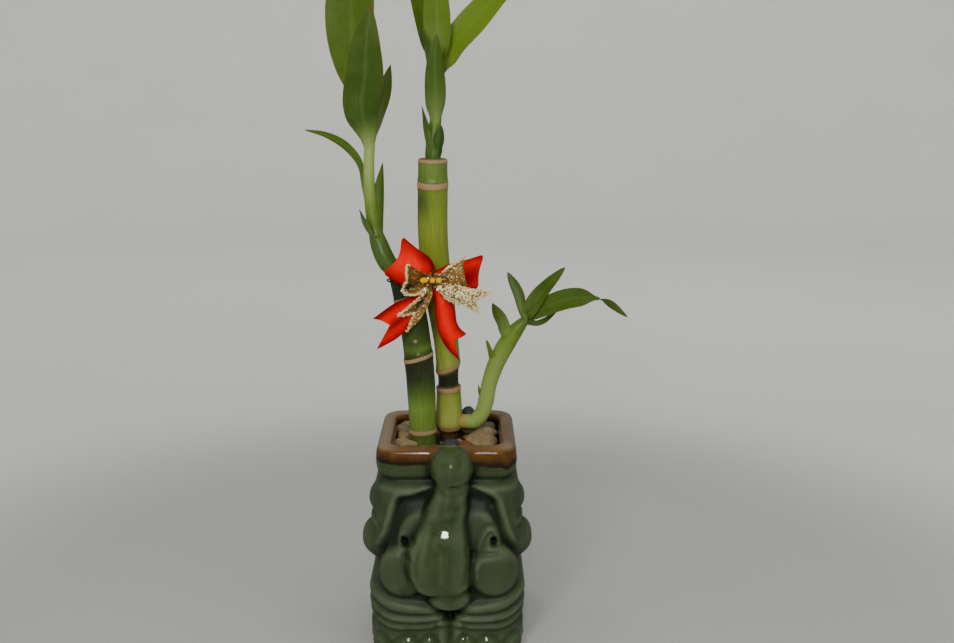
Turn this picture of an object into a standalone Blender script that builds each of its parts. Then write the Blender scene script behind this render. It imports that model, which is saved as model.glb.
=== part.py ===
"""Potted lucky bamboo: two canes with three leafy shoots in an elephant pot, tied with a red and a gold bow.

The scene is in metres with +Z up. The sizes below are in millimetres, and MM turns them into metres.
The elephant faces -Y. The origin is on the flat underside of the pot, in the middle.
"""

import math
import random
from collections import namedtuple

import bmesh
import bpy
import numpy as np
from mathutils import Matrix, Vector

MM = 0.001
GAP = 0.3
WELD = 0.00001
SHARP_ANGLE = math.radians(40)

# Pot
POT_HEIGHT = 110.0
RIM_HALF = 35.0
WALL_REFERENCE_RADIUS = 12.0
CAVITY_HALF = 27.0
CAVITY_RADIUS = 6.0
CAVITY_TAPER = 1.0
CAVITY_FLOOR = 9.0
# Height, half width and corner radius of the plain wall under the relief
WALL = (
    (0.0, 34.5, 12.0),
    (1.5, 36.4, 13.0),
    (12.0, 37.2, 14.0),
    (30.0, 37.4, 14.0),
    (44.0, 35.6, 13.0),
    (60.0, 34.8, 12.0),
    (80.0, 34.0, 11.0),
    (90.5, 33.4, 10.0),
    (93.0, 32.6, 9.0),
    (95.5, 34.2, 9.0),
    (99.0, 35.0, 9.0),
    (104.0, 35.1, 9.0),
    (107.5, 34.6, 9.0),
    (109.3, 33.3, 8.5),
    (110.0, 31.3, 8.0),
)
FRONT_SPAN = 34.0
FRONT_COLUMNS = 27
SIDE_COLUMNS = 10
BODY_ROWS = 29

# Pebbles
BED_TOP = 102.5
PEBBLE_SEED = 7
PEBBLE_COUNT = 34
PEBBLES_IN_ROW = 6
PEBBLE_STEP = 10.0
PEBBLE_START = -23.5
PEBBLE_REACH = 21.0
PEBBLE_SIZES = ((5.0, 8.5), (4.0, 6.5), (2.2, 3.4))

# Canes: points up the middle, radius, and scar rings as (place along the points, extra radius, half height)
Cane = namedtuple("Cane", "points radius rings")
LEFT_CANE = Cane(
    points=(
        (-12.0, 2, 48),
        (-12.9, 2, 104),
        (-14.8, 2, 145.6),
        (-17.6, 2, 168),
        (-21.3, 2, 186.5),
        (-24.7, 2, 201),
    ),
    radius=8.0,
    rings=((109.0, 0.7, 1.6), (145.6, 0.8, 2.0), (198.5, 0.5, 1.2)),
)
RIGHT_CANE = Cane(
    points=(
        (1.4, 12.5, 48),
        (0.8, 12.5, 104),
        (0.8, 12.3, 130.5),
        (0.2, 11.2, 143),
        (-3.6, 8, 176.5),
        (-6.5, 7, 202),
        (-6.8, 7, 240),
        (-6.7, 7, 249.5),
    ),
    radius=7.8,
    rings=((107.0, 0.4, 1.4), (127.5, 0.7, 2.6), (140.8, 0.7, 2.6), (237.5, 0.7, 2.6), (247.2, 0.1, 1.8)),
)
CANE_SIDES = 16
CANE_STEPS = 10
CANE_LEAST_STEP = 0.8

# Shoots: stem points with the stem's radius at each, and leaves
Leaf = namedtuple("Leaf", "midrib width facing twist fold across")
LEAF_THICKNESS = 0.7
STEM_SIDES = 8
LEFT_STEM = (
    ((-25.0, 1, 193), 4.0),
    ((-29.5, 1, 195.5), 4.3),
    ((-32.3, 1, 200), 4.6),
    ((-34.8, 1, 208), 4.3),
    ((-37.0, 1, 219), 3.5),
    ((-38.6, 1, 233), 2.8),
    ((-38.4, 0, 248), 2.6),
    ((-37.5, 0, 262), 2.8),
    ((-37.3, 1, 275), 1.6),
)
LEFT_LEAVES = (
    Leaf(((-36.0, -1, 208), (-40.4, -6, 217.8), (-43.0, -9, 225.6)), 4.2, -50, 0, 35, 2),
    Leaf(((-33.5, 2, 203), (-32.6, 3, 218), (-32.0, 3, 231), (-31.0, 2, 247)), 5.4, 40, 0, 40, 2),
    Leaf(
        (
            (-38.8, 2, 220), (-42.1, 5, 235), (-44.5, 8, 247),
            (-51.3, 11, 255.5), (-61.2, 14, 261), (-72.7, 17, 263.5),
        ),
        4.8, -60, 25, 40, 2,
    ),
    Leaf(
        ((-37.6, -1, 250), (-38.4, -5, 269), (-39.6, -11, 286), (-37.8, -16, 304), (-34.7, -20, 322)),
        19, 0, 6, 22, 4,
    ),
    Leaf(((-36.8, 1, 254), (-32.5, 5, 272), (-29.3, 7, 285), (-27.4, 8, 296)), 7.0, 30, 10, 40, 2),
    Leaf(
        ((-37.5, 2, 262), (-42.0, 8, 283), (-47.0, 15, 308), (-47.5, 20, 337), (-41.4, 22, 363)),
        24, -15, -8, 18, 4,
    ),
)
TOP_STEM = (
    ((-6.6, 8, 246), 4.2),
    ((-6.6, 8, 252), 4.4),
    ((-6.2, 8, 260), 3.8),
    ((-5.0, 8, 270), 3.0),
    ((-4.2, 8, 282), 2.8),
    ((-3.6, 8, 296), 1.8),
)
TOP_LEAVES = (
    Leaf(((-8.2, 6, 251), (-10.3, 4, 264.5), (-11.8, 2, 276)), 4.6, -50, 0, 40, 2),
    Leaf(((-4.0, 6, 250), (-3.4, 5.4, 258), (-2.4, 5, 266)), 5.0, 20, 0, 40, 2),
    Leaf(((-5.5, 6.0, 264), (-4.9, 2, 282), (-5.0, -1, 297), (-4.0, -3, 310)), 9.4, 5, 0, 35, 2),
    Leaf(((-4.2, 9.2, 264), (-0.6, 13, 279), (0.8, 15, 292)), 5.0, 70, 0, 35, 2),
    Leaf(((-5.6, 7, 284), (-9.0, 5, 298), (-10.9, 4, 313)), 6.0, -60, 0, 40, 2),
    Leaf(((-3.8, 8, 288), (-4.0, 10, 308), (-4.5, 14, 328), (-4.1, 20, 352)), 13.5, 0, 5, 22, 4),
    Leaf(
        ((-2.8, 9, 283), (3.2, 11, 303), (14.7, 14, 317.5), (29.0, 17, 332), (47.5, 19, 343)),
        14.5, -20, -10, 20, 4,
    ),
    Leaf(((-4.2, 9.2, 286), (-8.6, 18, 308), (-13.6, 25, 327), (-21.4, 31, 345)), 11, 200, 5, 25, 2),
)
SIDE_STEM = (
    ((4.0, 11.5, 110), 4.2),
    ((9.5, 11, 109.8), 4.2),
    ((14.0, 9.4, 110.6), 4.6),
    ((18.2, 8.5, 115.5), 4.5),
    ((20.4, 8, 124), 3.9),
    ((22.8, 6.5, 138), 3.6),
    ((28.6, 5, 153.5), 3.5),
    ((37.0, 4, 165), 3.3),
    ((41.5, 4, 169), 2.2),
)
SIDE_LEAVES = (
    Leaf(((18.6, 6.6, 124), (17.0, 6, 128), (16.4, 5.6, 132)), 3.4, -60, 0, 30, 2),
    Leaf(((25.4, 4.5, 142), (22.4, 3, 150), (20.6, 2, 156)), 5.0, -50, 0, 35, 2),
    Leaf(((33.0, 4, 158), (28.4, 1, 166), (23.4, -3, 177)), 8.6, -30, 0, 25, 2),
    Leaf(((39.0, 5, 166), (38.6, 7, 178), (31.5, 9, 191)), 5.6, 10, 0, 30, 2),
    Leaf(((39.0, 4, 166), (48.4, 1, 180.5), (60.2, -2, 195)), 8.2, -35, 0, 25, 2),
    Leaf(
        ((40.0, 4, 167), (53.5, -3, 178), (65.3, -9, 182.5), (77.0, -14, 180.5), (89.7, -18, 173)),
        9.6, -40, 35, 20, 4,
    ),
    Leaf(((40.5, 4.5, 166), (50.5, 9, 166.5), (58.9, 13, 170)), 4.6, -30, 0, 30, 2),
)

# Bows: a waist each, and loops and tails that leave it in the plane of the face
RIBBON_THICKNESS = 0.7
BOW_X = -6.5
BOW_Z = 190.0
RED_WAIST_Y = -9.0
GOLD_WAIST_Y = -14.6
WAIST_RADII = (4.2, 2.5, 3.9)
ROOT_WIDTH = 5.5
LOOP_ROOT = 2.2
TAIL_ROOT = 3.2
# Loops: direction in degrees from +X towards +Z, length, depth, width at the end, middle of its depth in Y
Loop = namedtuple("Loop", "direction length depth width middle")
RED_LOOPS = (Loop(150, 23.5, 4.0, 18.0, -9.6), Loop(10, 21.0, 4.0, 17.5, -9.6))
GOLD_LOOPS = (Loop(178, 15.0, 5.4, 13.0, -16.9), Loop(16, 16.0, 5.4, 13.0, -16.9))
# Tails: direction, length, width at the end, Y at the end, how far the middle is cupped
Tail = namedtuple("Tail", "direction length width end_y cup")
RED_TAILS = (Tail(222, 41.0, 16.0, -9.5, 1.6), Tail(-67, 37.0, 13.5, -9.5, 2.2))
GOLD_TAILS = (Tail(235, 25.0, 10.5, -18.0, 2.6), Tail(-21, 26.0, 9.5, -19.5, 2.6))
NOTCH_SHARE = 0.22

# Tie
WIRE_RADIUS = 0.8
WIRE_SIDES = 8
BEAD_RADIUS = 1.5
BEAD_OFFSETS = (-4.6, -0.6, 2.8)
TIE_Z = 188.0


def material(name, color, roughness, metallic=0.0):
    """One Principled finish."""
    made = bpy.data.materials.new(name)
    made.use_nodes = True
    shader = made.node_tree.nodes["Principled BSDF"]
    shader.inputs["Base Color"].default_value = (*color, 1.0)
    shader.inputs["Roughness"].default_value = roughness
    shader.inputs["Metallic"].default_value = metallic
    return made


def clear_scene():
    """Removes whatever the open file holds."""
    for obj in list(bpy.data.objects):
        bpy.data.objects.remove(obj, do_unlink=True)


def add_object(name, bm, collection):
    """A bmesh in millimetres as a smooth-shaded object in metres."""
    bmesh.ops.scale(bm, vec=(MM, MM, MM), verts=bm.verts)
    mesh = bpy.data.meshes.new(name)
    bm.to_mesh(mesh)
    bm.free()
    mesh.shade_smooth()
    mesh.set_sharp_from_angle(angle=SHARP_ANGLE)
    obj = bpy.data.objects.new(name, mesh)
    collection.objects.link(obj)
    return obj


def replace_mesh(obj, mesh):
    """Gives obj a new mesh and drops its modifiers and its old mesh."""
    old = obj.data
    obj.modifiers.clear()
    obj.data = mesh
    bpy.data.meshes.remove(old)


def apply_modifiers(obj):
    """Bakes obj's modifiers into its mesh."""
    bpy.context.view_layer.update()
    graph = bpy.context.evaluated_depsgraph_get()
    mesh = bpy.data.meshes.new_from_object(obj.evaluated_get(graph))
    mesh.name = obj.name
    replace_mesh(obj, mesh)


def boolean(obj, operation, other):
    """Cuts obj with another object, or joins a whole collection to it, and applies the result."""
    modifier = obj.modifiers.new(operation.title(), "BOOLEAN")
    modifier.operation = operation
    modifier.solver = "EXACT"
    if isinstance(other, bpy.types.Collection):
        modifier.operand_type = "COLLECTION"
        modifier.collection = other
    else:
        modifier.object = other
    apply_modifiers(obj)


def fuse(base, others):
    """Joins others to base by one Boolean union, and removes them."""
    group = bpy.data.collections.new(base.name + "_parts")
    bpy.context.scene.collection.children.link(group)
    for obj in others:
        for owner in list(obj.users_collection):
            owner.objects.unlink(obj)
        group.objects.link(obj)
    boolean(base, "UNION", group)
    for obj in others:
        bpy.data.objects.remove(obj, do_unlink=True)
    bpy.data.collections.remove(group)
    return base


def smooth_values(at, places, values):
    """A smooth curve through (places, values), read at each number in at."""
    places = np.asarray(places, float)
    values = np.asarray(values, float)
    slopes = np.gradient(values, places, axis=0)
    index = np.clip(np.searchsorted(places, at, side="right") - 1, 0, len(places) - 2)
    step = places[index + 1] - places[index]
    t = (np.asarray(at, float) - places[index]) / step
    if values.ndim > 1:
        t = t[:, None]
        step = step[:, None]
    start = (1 + 2 * t) * (1 - t) ** 2 * values[index] + t * (1 - t) ** 2 * step * slopes[index]
    end = t**2 * (3 - 2 * t) * values[index + 1] + t**2 * (t - 1) * step * slopes[index + 1]
    return start + end


def smooth_path(points, count):
    """count points evenly spaced along a smooth curve through the given ones."""
    points = np.asarray(points, float)
    lengths = np.concatenate([[0.0], np.cumsum(np.linalg.norm(np.diff(points, axis=0), axis=1))])
    return smooth_values(np.linspace(0.0, lengths[-1], count), lengths, points)


def tube(name, points, radii, sides, collection, closed=False):
    """A tube along points with a radius at each, from a bevelled curve with its caps welded, or closed."""
    curve = bpy.data.curves.new(name, "CURVE")
    curve.dimensions = "3D"
    curve.bevel_depth = MM
    curve.bevel_resolution = (sides - 4) // 2
    curve.use_fill_caps = not closed
    spline = curve.splines.new("POLY")
    spline.points.add(len(points) - 1)
    for point, place, radius in zip(spline.points, points, radii):
        point.co = (*(c * MM for c in place), 1.0)
        point.radius = radius
    spline.use_cyclic_u = closed
    guide = bpy.data.objects.new(name + "_curve", curve)
    bpy.context.scene.collection.objects.link(guide)
    bpy.context.view_layer.update()
    graph = bpy.context.evaluated_depsgraph_get()
    mesh = bpy.data.meshes.new_from_object(guide.evaluated_get(graph))
    mesh.name = name
    bm = bmesh.new()
    bm.from_mesh(mesh)
    bmesh.ops.remove_doubles(bm, verts=bm.verts, dist=WELD)
    bmesh.ops.recalc_face_normals(bm, faces=bm.faces)
    bm.to_mesh(mesh)
    bm.free()
    mesh.shade_smooth()
    mesh.set_sharp_from_angle(angle=SHARP_ANGLE)
    obj = bpy.data.objects.new(name, mesh)
    obj.matrix_world = guide.matrix_world
    collection.objects.link(obj)
    bpy.data.objects.remove(guide, do_unlink=True)
    return obj


# Pot relief: u runs round the wall from the middle of the front, and w is how far a place is from that middle

Boss = namedtuple("Boss", "at radii height power")
Mark = namedtuple("Mark", "points height width")

FOREHEADS = (Boss((-15.5, 67.0), (13.5, 12.0), 4.6, 1.8), Boss((17.5, 67.0), (13.5, 12.0), 4.6, 1.8))
CHEEKS = (Boss((-21.5, 46.0), (14.2, 14.0), 6.4, 2.0), Boss((23.5, 46.0), (14.2, 14.0), 6.4, 2.0))
LIP = Boss((1.4, 33.5), (12.0, 7.2), 9.2, 1.8)
# Trunk: height, middle, half width, how far it stands out
TRUNK = (
    (35.5, 0.5, 7.0, 1.0),
    (38.0, -2.2, 15.0, 10.6),
    (43.0, -4.6, 18.4, 12.8),
    (50.0, -5.2, 18.9, 13.2),
    (58.0, -4.6, 17.0, 13.0),
    (68.0, -2.4, 13.4, 12.2),
    (78.0, -0.2, 10.6, 10.8),
    (87.0, 1.9, 8.6, 9.4),
    (92.0, 2.3, 8.0, 8.4),
    (96.0, 2.4, 9.4, 10.0),
    (101.0, 2.4, 9.8, 10.6),
    (105.0, 2.4, 9.2, 9.6),
    (108.0, 2.4, 7.8, 7.2),
    (110.0, 2.4, 5.5, 2.6),
)
TRUNK_POWER = 2.8
TRUNK_MARKS = (
    Mark(((-2.5, 92.2), (7.0, 92.2)), -1.8, 1.3),
    Mark(((2.3, 107.0), (2.3, 96.0)), 0.8, 1.3),
    Mark(((-1.6, 104.6), (-1.1, 105.2)), -1.2, 2.0),
    Mark(((5.8, 104.6), (6.3, 105.2)), -1.2, 2.0),
    Mark(((-11.5, 76.0), (-14.4, 66.0), (-17.0, 57.0), (-17.0, 48.0), (-14.0, 41.0)), -1.5, 1.2),
    Mark(((10.0, 60.0), (10.6, 50.0), (9.0, 43.0)), -0.7, 1.6),
    Mark(((-2.6, 56.0), (-2.6, 44.0)), 0.5, 1.8),
    Mark(((15.4, 49.0), (15.4, 44.0)), 1.8, 1.9),
)
# Headdress: top edge, lower edge at the sides, how far the lower edge rises to the trunk, height of the band
HEADDRESS_TOP = 91.6
HEADDRESS_EDGE = 84.6
HEADDRESS_RISE = 4.6
HEADDRESS_HEIGHT = 2.6
HEADDRESS_HALF = 33.0
HEADDRESS_HOLLOWS = (
    Mark(((-22.0, 80.5), (-12.0, 81.5)), -1.6, 2.6),
    Mark(((12.0, 80.5), (22.0, 81.5)), -1.6, 2.6),
)
# Eyes: which side, middle of the lid, height of the brow
Eye = namedtuple("Eye", "side lid brow")
EYES = (Eye(-1, (-18.8, 60.5), 0.7), Eye(1, (20.5, 60.5), 1.7))
BROW_RADII = (7.4, 7.6)
LID_RADII = (4.2, 4.8)
# The front edge of an ear: height, and how far round the pot it lies from the middle of the face
EAR_EDGE = ((48.0, 41.0), (54.0, 35.5), (60.0, 31.0), (66.0, 28.4), (72.0, 26.8), (78.0, 25.4), (84.0, 24.2))
EAR_LOBES = (
    Boss((50.0, 57.0), (15.0, 12.0), 9.0, 1.4),
    Boss((47.0, 79.5), (13.0, 8.0), 5.8, 1.4),
    Boss((46.0, 68.5), (15.0, 12.0), 4.6, 1.8),
)
EAR_FLAP_HEIGHT = 3.0
EAR_BEAD_HEIGHT = 0.8
EAR_RECESS = 2.0
EAR_BOTTOM = 50.0
EAR_TOP = 88.0
BACK_EAR_SHARE = 0.6
EAR_FOLD_HEIGHTS = (69.5, 63.0)
TEMPLE = Mark(((20.0, 80.0), (22.4, 72.5), (24.4, 66.0), (27.4, 60.0), (31.5, 55.0)), -1.5, 2.0)
# Creases round a leg: how far from the middle of the face, and the heights of three creases there
CREASES = (
    (5.0, 26.0, 21.8, 18.2),
    (12.0, 27.0, 20.4, 16.6),
    (18.0, 28.2, 20.6, 16.4),
    (29.0, 33.0, 23.4, 18.4),
    (38.0, 37.0, 25.0, 21.2),
    (50.0, 37.5, 25.6, 21.8),
    (65.0, 36.0, 25.0, 21.4),
)
FOLD_HEIGHTS = (3.0, 2.4)
FOOT_HEIGHT = 2.2
LEG_TOP = 36.0
# Toes: how far from the middle of the face, and half width
TOES = ((9.0, 5.0), (21.0, 6.2), (34.5, 6.0), (48.0, 6.0), (60.0, 5.0))
TOE_RISE = 6.5
TOE_GROOVE = 1.2
LEG_GAP_TOP = 27.5
FRONT_GAP_DEPTH = 7.0
SIDE_GAP_DEPTH = 3.0


def mound(u, z, boss):
    """A rounded boss: its height at the middle, nought at its edge, and falling on beyond."""
    q = ((u - boss.at[0]) / boss.radii[0]) ** 2 + ((z - boss.at[1]) / boss.radii[1]) ** 2
    return boss.height * (1 - q**boss.power)


def join_forms(first, second, fillet=1.0):
    """The higher of two surfaces, with a small fillet where they meet."""
    near = np.clip(fillet - np.abs(first - second), 0, None) / fillet
    return np.maximum(first, second) + near**2 * fillet / 4


def distance_to(u, z, points):
    """Distance from each place to a line through the points."""
    found = np.full(np.shape(u), np.inf)
    for (u0, z0), (u1, z1) in zip(points[:-1], points[1:]):
        du, dz = u1 - u0, z1 - z0
        t = np.clip(((u - u0) * du + (z - z0) * dz) / (du * du + dz * dz), 0, 1)
        found = np.minimum(found, np.hypot(u - u0 - t * du, z - z0 - t * dz))
    return found


def stroke(u, z, mark):
    """A soft ridge, or a groove where the height is negative, along a line of points."""
    return mark.height * np.exp(-((distance_to(u, z, mark.points) / mark.width) ** 2))


def arc(centre, radii, start, end, count=13):
    """Points along an elliptical arc, from one angle to another in degrees."""
    angles = np.radians(np.linspace(start, end, count))
    return [(centre[0] + radii[0] * math.cos(a), centre[1] + radii[1] * math.sin(a)) for a in angles]


def column(at, table, index):
    """One column of a table, read at each number in at along the table's first column."""
    rows = np.array(table)
    inside = np.clip(at, rows[0, 0], rows[-1, 0])
    return smooth_values(inside.ravel(), rows[:, 0], rows[:, index]).reshape(np.shape(at))


def trunk_relief(u, z):
    """The raised trunk, from the nose up the front to its tip at the rim."""
    middle, half, height = (column(z, TRUNK, index) for index in (1, 2, 3))
    raised = height * (1 - np.abs((u - middle) / half) ** TRUNK_POWER)
    return np.where(z < TRUNK[0][0], -FRONT_GAP_DEPTH, raised)


def head_relief(u, z):
    """The head over the wall: forehead, cheeks, lip and trunk."""
    found = np.zeros(u.shape)
    for boss in (*FOREHEADS, *CHEEKS, LIP):
        found = join_forms(found, mound(u, z, boss), 1.2)
    return join_forms(found, trunk_relief(u, z))


def ear_relief(w, z):
    """An ear round the corner and along the side: its flap, its lobes and the folds between them."""
    inside = w - column(z, EAR_EDGE, 1)
    rise = np.clip(inside / 3.0 + 0.5, 0, 1)
    ends = np.clip(np.minimum(z - EAR_BOTTOM, EAR_TOP - z) / 6, 0, 1)
    bead = EAR_BEAD_HEIGHT * np.exp(-(((inside - 0.6) / 1.4) ** 2))
    found = (EAR_FLAP_HEIGHT * rise**2 * (3 - 2 * rise) + bead) * ends
    for lobe in EAR_LOBES:
        found = join_forms(found, mound(w, z, lobe), 2.0)
    for height in EAR_FOLD_HEIGHTS:
        found = found + stroke(w, z, Mark(arc((47.0, height), (11.0, 5.0), 150, 30), -1.7, 1.6))
    return found - EAR_RECESS * (1 - rise) * ends


def leg_relief(w, z):
    """The folds round a leg, and the foot with its toes."""
    creases = [column(w, CREASES, index) for index in (1, 2, 3)]
    found = np.zeros(w.shape)
    for upper, lower, height in zip(creases[:-1], creases[1:], FOLD_HEIGHTS):
        place = (z - (upper + lower) / 2) / ((upper - lower) / 2)
        found = np.maximum(found, height * (1 - np.abs(place) ** 2.4))
    foot = FOOT_HEIGHT * (1 - np.clip(z / creases[-1], 0, 2) ** 7)
    found = np.maximum(found, foot)
    for toe, half in TOES:
        nail = [(toe - half, 0.0), *arc((toe, TOE_RISE), (half, TOE_RISE), 180, 0), (toe + half, 0.0)]
        found = found + stroke(w, z, Mark(nail, -TOE_GROOVE, 1.1))
    return found - 6 * np.clip((z - LEG_TOP) / 4, 0, 1)


def headdress_relief(w, z):
    """The band across the forehead, whose lower edge rises to the trunk."""
    edge = HEADDRESS_EDGE + HEADDRESS_RISE * np.clip((18 - w) / 12, 0, 1) ** 1.4
    place = np.abs(z - (edge + HEADDRESS_TOP) / 2) / ((HEADDRESS_TOP - edge) / 2)
    fade = 3 * np.clip((w - HEADDRESS_HALF) / 6, 0, 1)
    return HEADDRESS_HEIGHT * (1 - np.clip(place, 0, 2) ** 4) - fade


def eye_marks(eye):
    """Brow, lid, the crease under the eye and the eye's hole."""
    u, z = eye.lid
    hole = u + eye.side * 2.8
    brow = arc(eye.lid, BROW_RADII, 90 + eye.side * 100, 90 - eye.side * 70)
    lid = arc(eye.lid, LID_RADII, 90 + eye.side * 110, 90 - eye.side * 60)
    under = ((u - eye.side * 6.5, z - 5.9), (u + eye.side * 3.5, z - 3.9))
    return (
        Mark(brow, eye.brow, 1.5),
        Mark(lid, -0.5 * eye.brow, 1.2),
        Mark(under, -1.2, 1.2),
        Mark(((hole, z + 2.4), (hole, z + 1.2)), -3.2, 1.15),
    )


def relief(u, z, side_centre):
    """Height of the relief over the plain wall. The back face repeats the front one."""
    back = np.abs(u) > side_centre
    u = np.where(back, np.sign(u) * (2 * side_centre - np.abs(u)), u)
    w = np.abs(u)
    ears = ear_relief(w, z)
    found = join_forms(head_relief(u, z), np.where(back, BACK_EAR_SHARE * ears, ears))
    found = join_forms(found, leg_relief(w, z))
    found = join_forms(found, headdress_relief(w, z))
    for mark in (*HEADDRESS_HOLLOWS, *TRUNK_MARKS, *(mark for eye in EYES for mark in eye_marks(eye))):
        found = found + stroke(u, z, mark)
    for mark in (TEMPLE, Mark(((side_centre, 46.0), (side_centre, 86.0)), -1.6, 2.0)):
        found = found + stroke(w, z, mark)
    gap = np.clip((LEG_GAP_TOP - z) / 2.5, 0, 1)
    front_half = 2.2 + 3.2 * np.clip((z - 19) / 6, 0, 1)
    found = found - FRONT_GAP_DEPTH * gap * np.exp(-(((u - 1.0) / front_half) ** 4))
    return found - SIDE_GAP_DEPTH * gap * np.exp(-(((w - side_centre) / 2.6) ** 2))


def square_ring(half, radius, columns):
    """Points and outward directions of a rounded square, at places given on the reference wall."""
    flat_ref = RIM_HALF - WALL_REFERENCE_RADIUS
    arc_ref = WALL_REFERENCE_RADIUS * math.pi / 2
    quarter = 2 * flat_ref + arc_ref
    places = []
    for u in columns:
        turn = math.floor((u + quarter / 2) / quarter)
        local = u - turn * quarter
        flat = half - radius
        if abs(local) <= flat_ref:
            x, y, angle = local / flat_ref * flat, -half, 0.0
        else:
            angle = math.copysign((abs(local) - flat_ref) / arc_ref * math.pi / 2, local)
            x = math.copysign(flat, local) + radius * math.sin(angle)
            y = -flat - radius * math.cos(angle)
        heading = Matrix.Rotation(turn * math.pi / 2, 2)
        places.append((heading @ Vector((x, y)), heading @ Vector((math.sin(angle), -math.cos(angle)))))
    return places


def pot_columns():
    """Places of the mesh columns round the pot, closer together on the front and the back."""
    flat = RIM_HALF - WALL_REFERENCE_RADIUS
    side_centre = 2 * flat + WALL_REFERENCE_RADIUS * math.pi / 2
    front = np.linspace(-FRONT_SPAN, FRONT_SPAN, FRONT_COLUMNS)
    side = np.linspace(FRONT_SPAN, 2 * side_centre - FRONT_SPAN, SIDE_COLUMNS + 2)[1:-1]
    return np.concatenate([front, side, front + 2 * side_centre, side + 2 * side_centre]), side_centre


def wall_rows():
    """Heights of the mesh rows up the outside."""
    body = np.linspace(3.5, 91.0, BODY_ROWS)
    return np.concatenate([[0.0, 0.8], body, [93.0, 95.2, 98.0, 101.5, 105.0, 107.5, 109.3, POT_HEIGHT]])


def bridge(bm, lower, upper):
    """A band of faces between two rings of the same count."""
    count = len(lower)
    for i in range(count):
        j = (i + 1) % count
        bm.faces.new((lower[i], lower[j], upper[j], upper[i]))


def build_pot(collection):
    """The pot: rounded squares lofted up the outside with the relief, over the rim and down the cavity."""
    columns, side_centre = pot_columns()
    wall = np.array(WALL)
    rows = wall_rows()
    halves = smooth_values(rows, wall[:, 0], wall[:, 1])
    radii = smooth_values(rows, wall[:, 0], wall[:, 2])
    u = np.where(columns > 2 * side_centre, columns - 4 * side_centre, columns)
    grid_u, grid_z = np.meshgrid(u, rows)
    heights = relief(grid_u, grid_z, side_centre)
    heights[0] *= 0.3
    bm = bmesh.new()
    rings = []
    for z, half, radius, row in zip(rows, halves, radii, heights):
        ring = []
        for (place, outward), height in zip(square_ring(half, radius, columns), row):
            ring.append(bm.verts.new((*(place + outward * height), z)))
        rings.append(ring)
    inside = (
        (POT_HEIGHT - 0.3, 29.4, 7.5),
        (POT_HEIGHT - 1.8, 27.7, 7.0),
        (POT_HEIGHT - 4.5, CAVITY_HALF, CAVITY_RADIUS),
        (CAVITY_FLOOR, CAVITY_HALF - CAVITY_TAPER, CAVITY_RADIUS),
    )
    for z, half, radius in inside:
        rings.append([bm.verts.new((*place, z)) for place, _ in square_ring(half, radius, columns)])
    for lower, upper in zip(rings[:-1], rings[1:]):
        bridge(bm, lower, upper)
    bm.faces.new(list(reversed(rings[0])))
    bm.faces.new(rings[-1])
    bmesh.ops.triangulate(bm, faces=bm.faces)
    pot = add_object("elephant_pot", bm, collection)
    pot.data.materials.append(material("green_glaze", (0.055, 0.095, 0.06), 0.12))
    return pot


# Pebbles and canes


def square_prism(bm, levels, radius, columns):
    """A closed prism of rounded squares, from (height, half width) at its two ends."""
    rings = []
    for z, half in levels:
        rings.append([bm.verts.new((*place, z)) for place, _ in square_ring(half, radius, columns)])
    bridge(bm, *rings)
    bm.faces.new(list(reversed(rings[0])))
    bm.faces.new(rings[1])


def build_bed(collection):
    """The pebbles that fill the cavity, joined to a core, with a flat bottom and room for the canes."""
    draw = random.Random(PEBBLE_SEED)
    columns = pot_columns()[0][::2]
    bottom = CAVITY_FLOOR + GAP
    core = bmesh.new()
    low_half = CAVITY_HALF - CAVITY_TAPER - 2 * GAP
    square_prism(core, ((bottom, low_half), (BED_TOP, low_half + 0.8 * CAVITY_TAPER)), CAVITY_RADIUS, columns)
    bed = add_object("pebble_bed", core, collection)
    pebbles = []
    for i in range(PEBBLE_COUNT):
        row, place = divmod(i, PEBBLES_IN_ROW)
        x = PEBBLE_START + PEBBLE_STEP * (place + 0.45 * (row % 2)) + draw.uniform(-1.5, 1.5)
        y = PEBBLE_START + 0.94 * PEBBLE_STEP * row + draw.uniform(-1.5, 1.5)
        radii = [draw.uniform(*limits) for limits in PEBBLE_SIZES]
        pebble = bmesh.new()
        bmesh.ops.create_icosphere(pebble, subdivisions=1, radius=1.0)
        bmesh.ops.scale(pebble, vec=radii, verts=pebble.verts)
        turn = Matrix.Rotation(draw.uniform(0, math.pi), 4, "Z")
        tilt = Matrix.Rotation(draw.uniform(-0.3, 0.3), 4, "X")
        bmesh.ops.transform(pebble, matrix=tilt @ turn, verts=pebble.verts)
        x, y = (max(-PEBBLE_REACH, min(PEBBLE_REACH, c)) for c in (x, y))
        bmesh.ops.translate(pebble, vec=(x, y, BED_TOP + draw.uniform(-0.6, 1.0)), verts=pebble.verts)
        pebbles.append(add_object(f"pebble_{i}", pebble, collection))
    fuse(bed, pebbles)
    envelope = bmesh.new()
    top_half = CAVITY_HALF - CAVITY_TAPER - GAP + 0.8 * CAVITY_TAPER
    square_prism(envelope, ((0.0, top_half), (POT_HEIGHT, top_half)), CAVITY_RADIUS, columns)
    limits = add_object("bed_limits", envelope, collection)
    boolean(bed, "INTERSECT", limits)
    bpy.data.objects.remove(limits, do_unlink=True)
    bed.data.materials.clear()
    bed.data.materials.append(material("river_pebble", (0.33, 0.26, 0.17), 0.6))
    return bed


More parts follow.
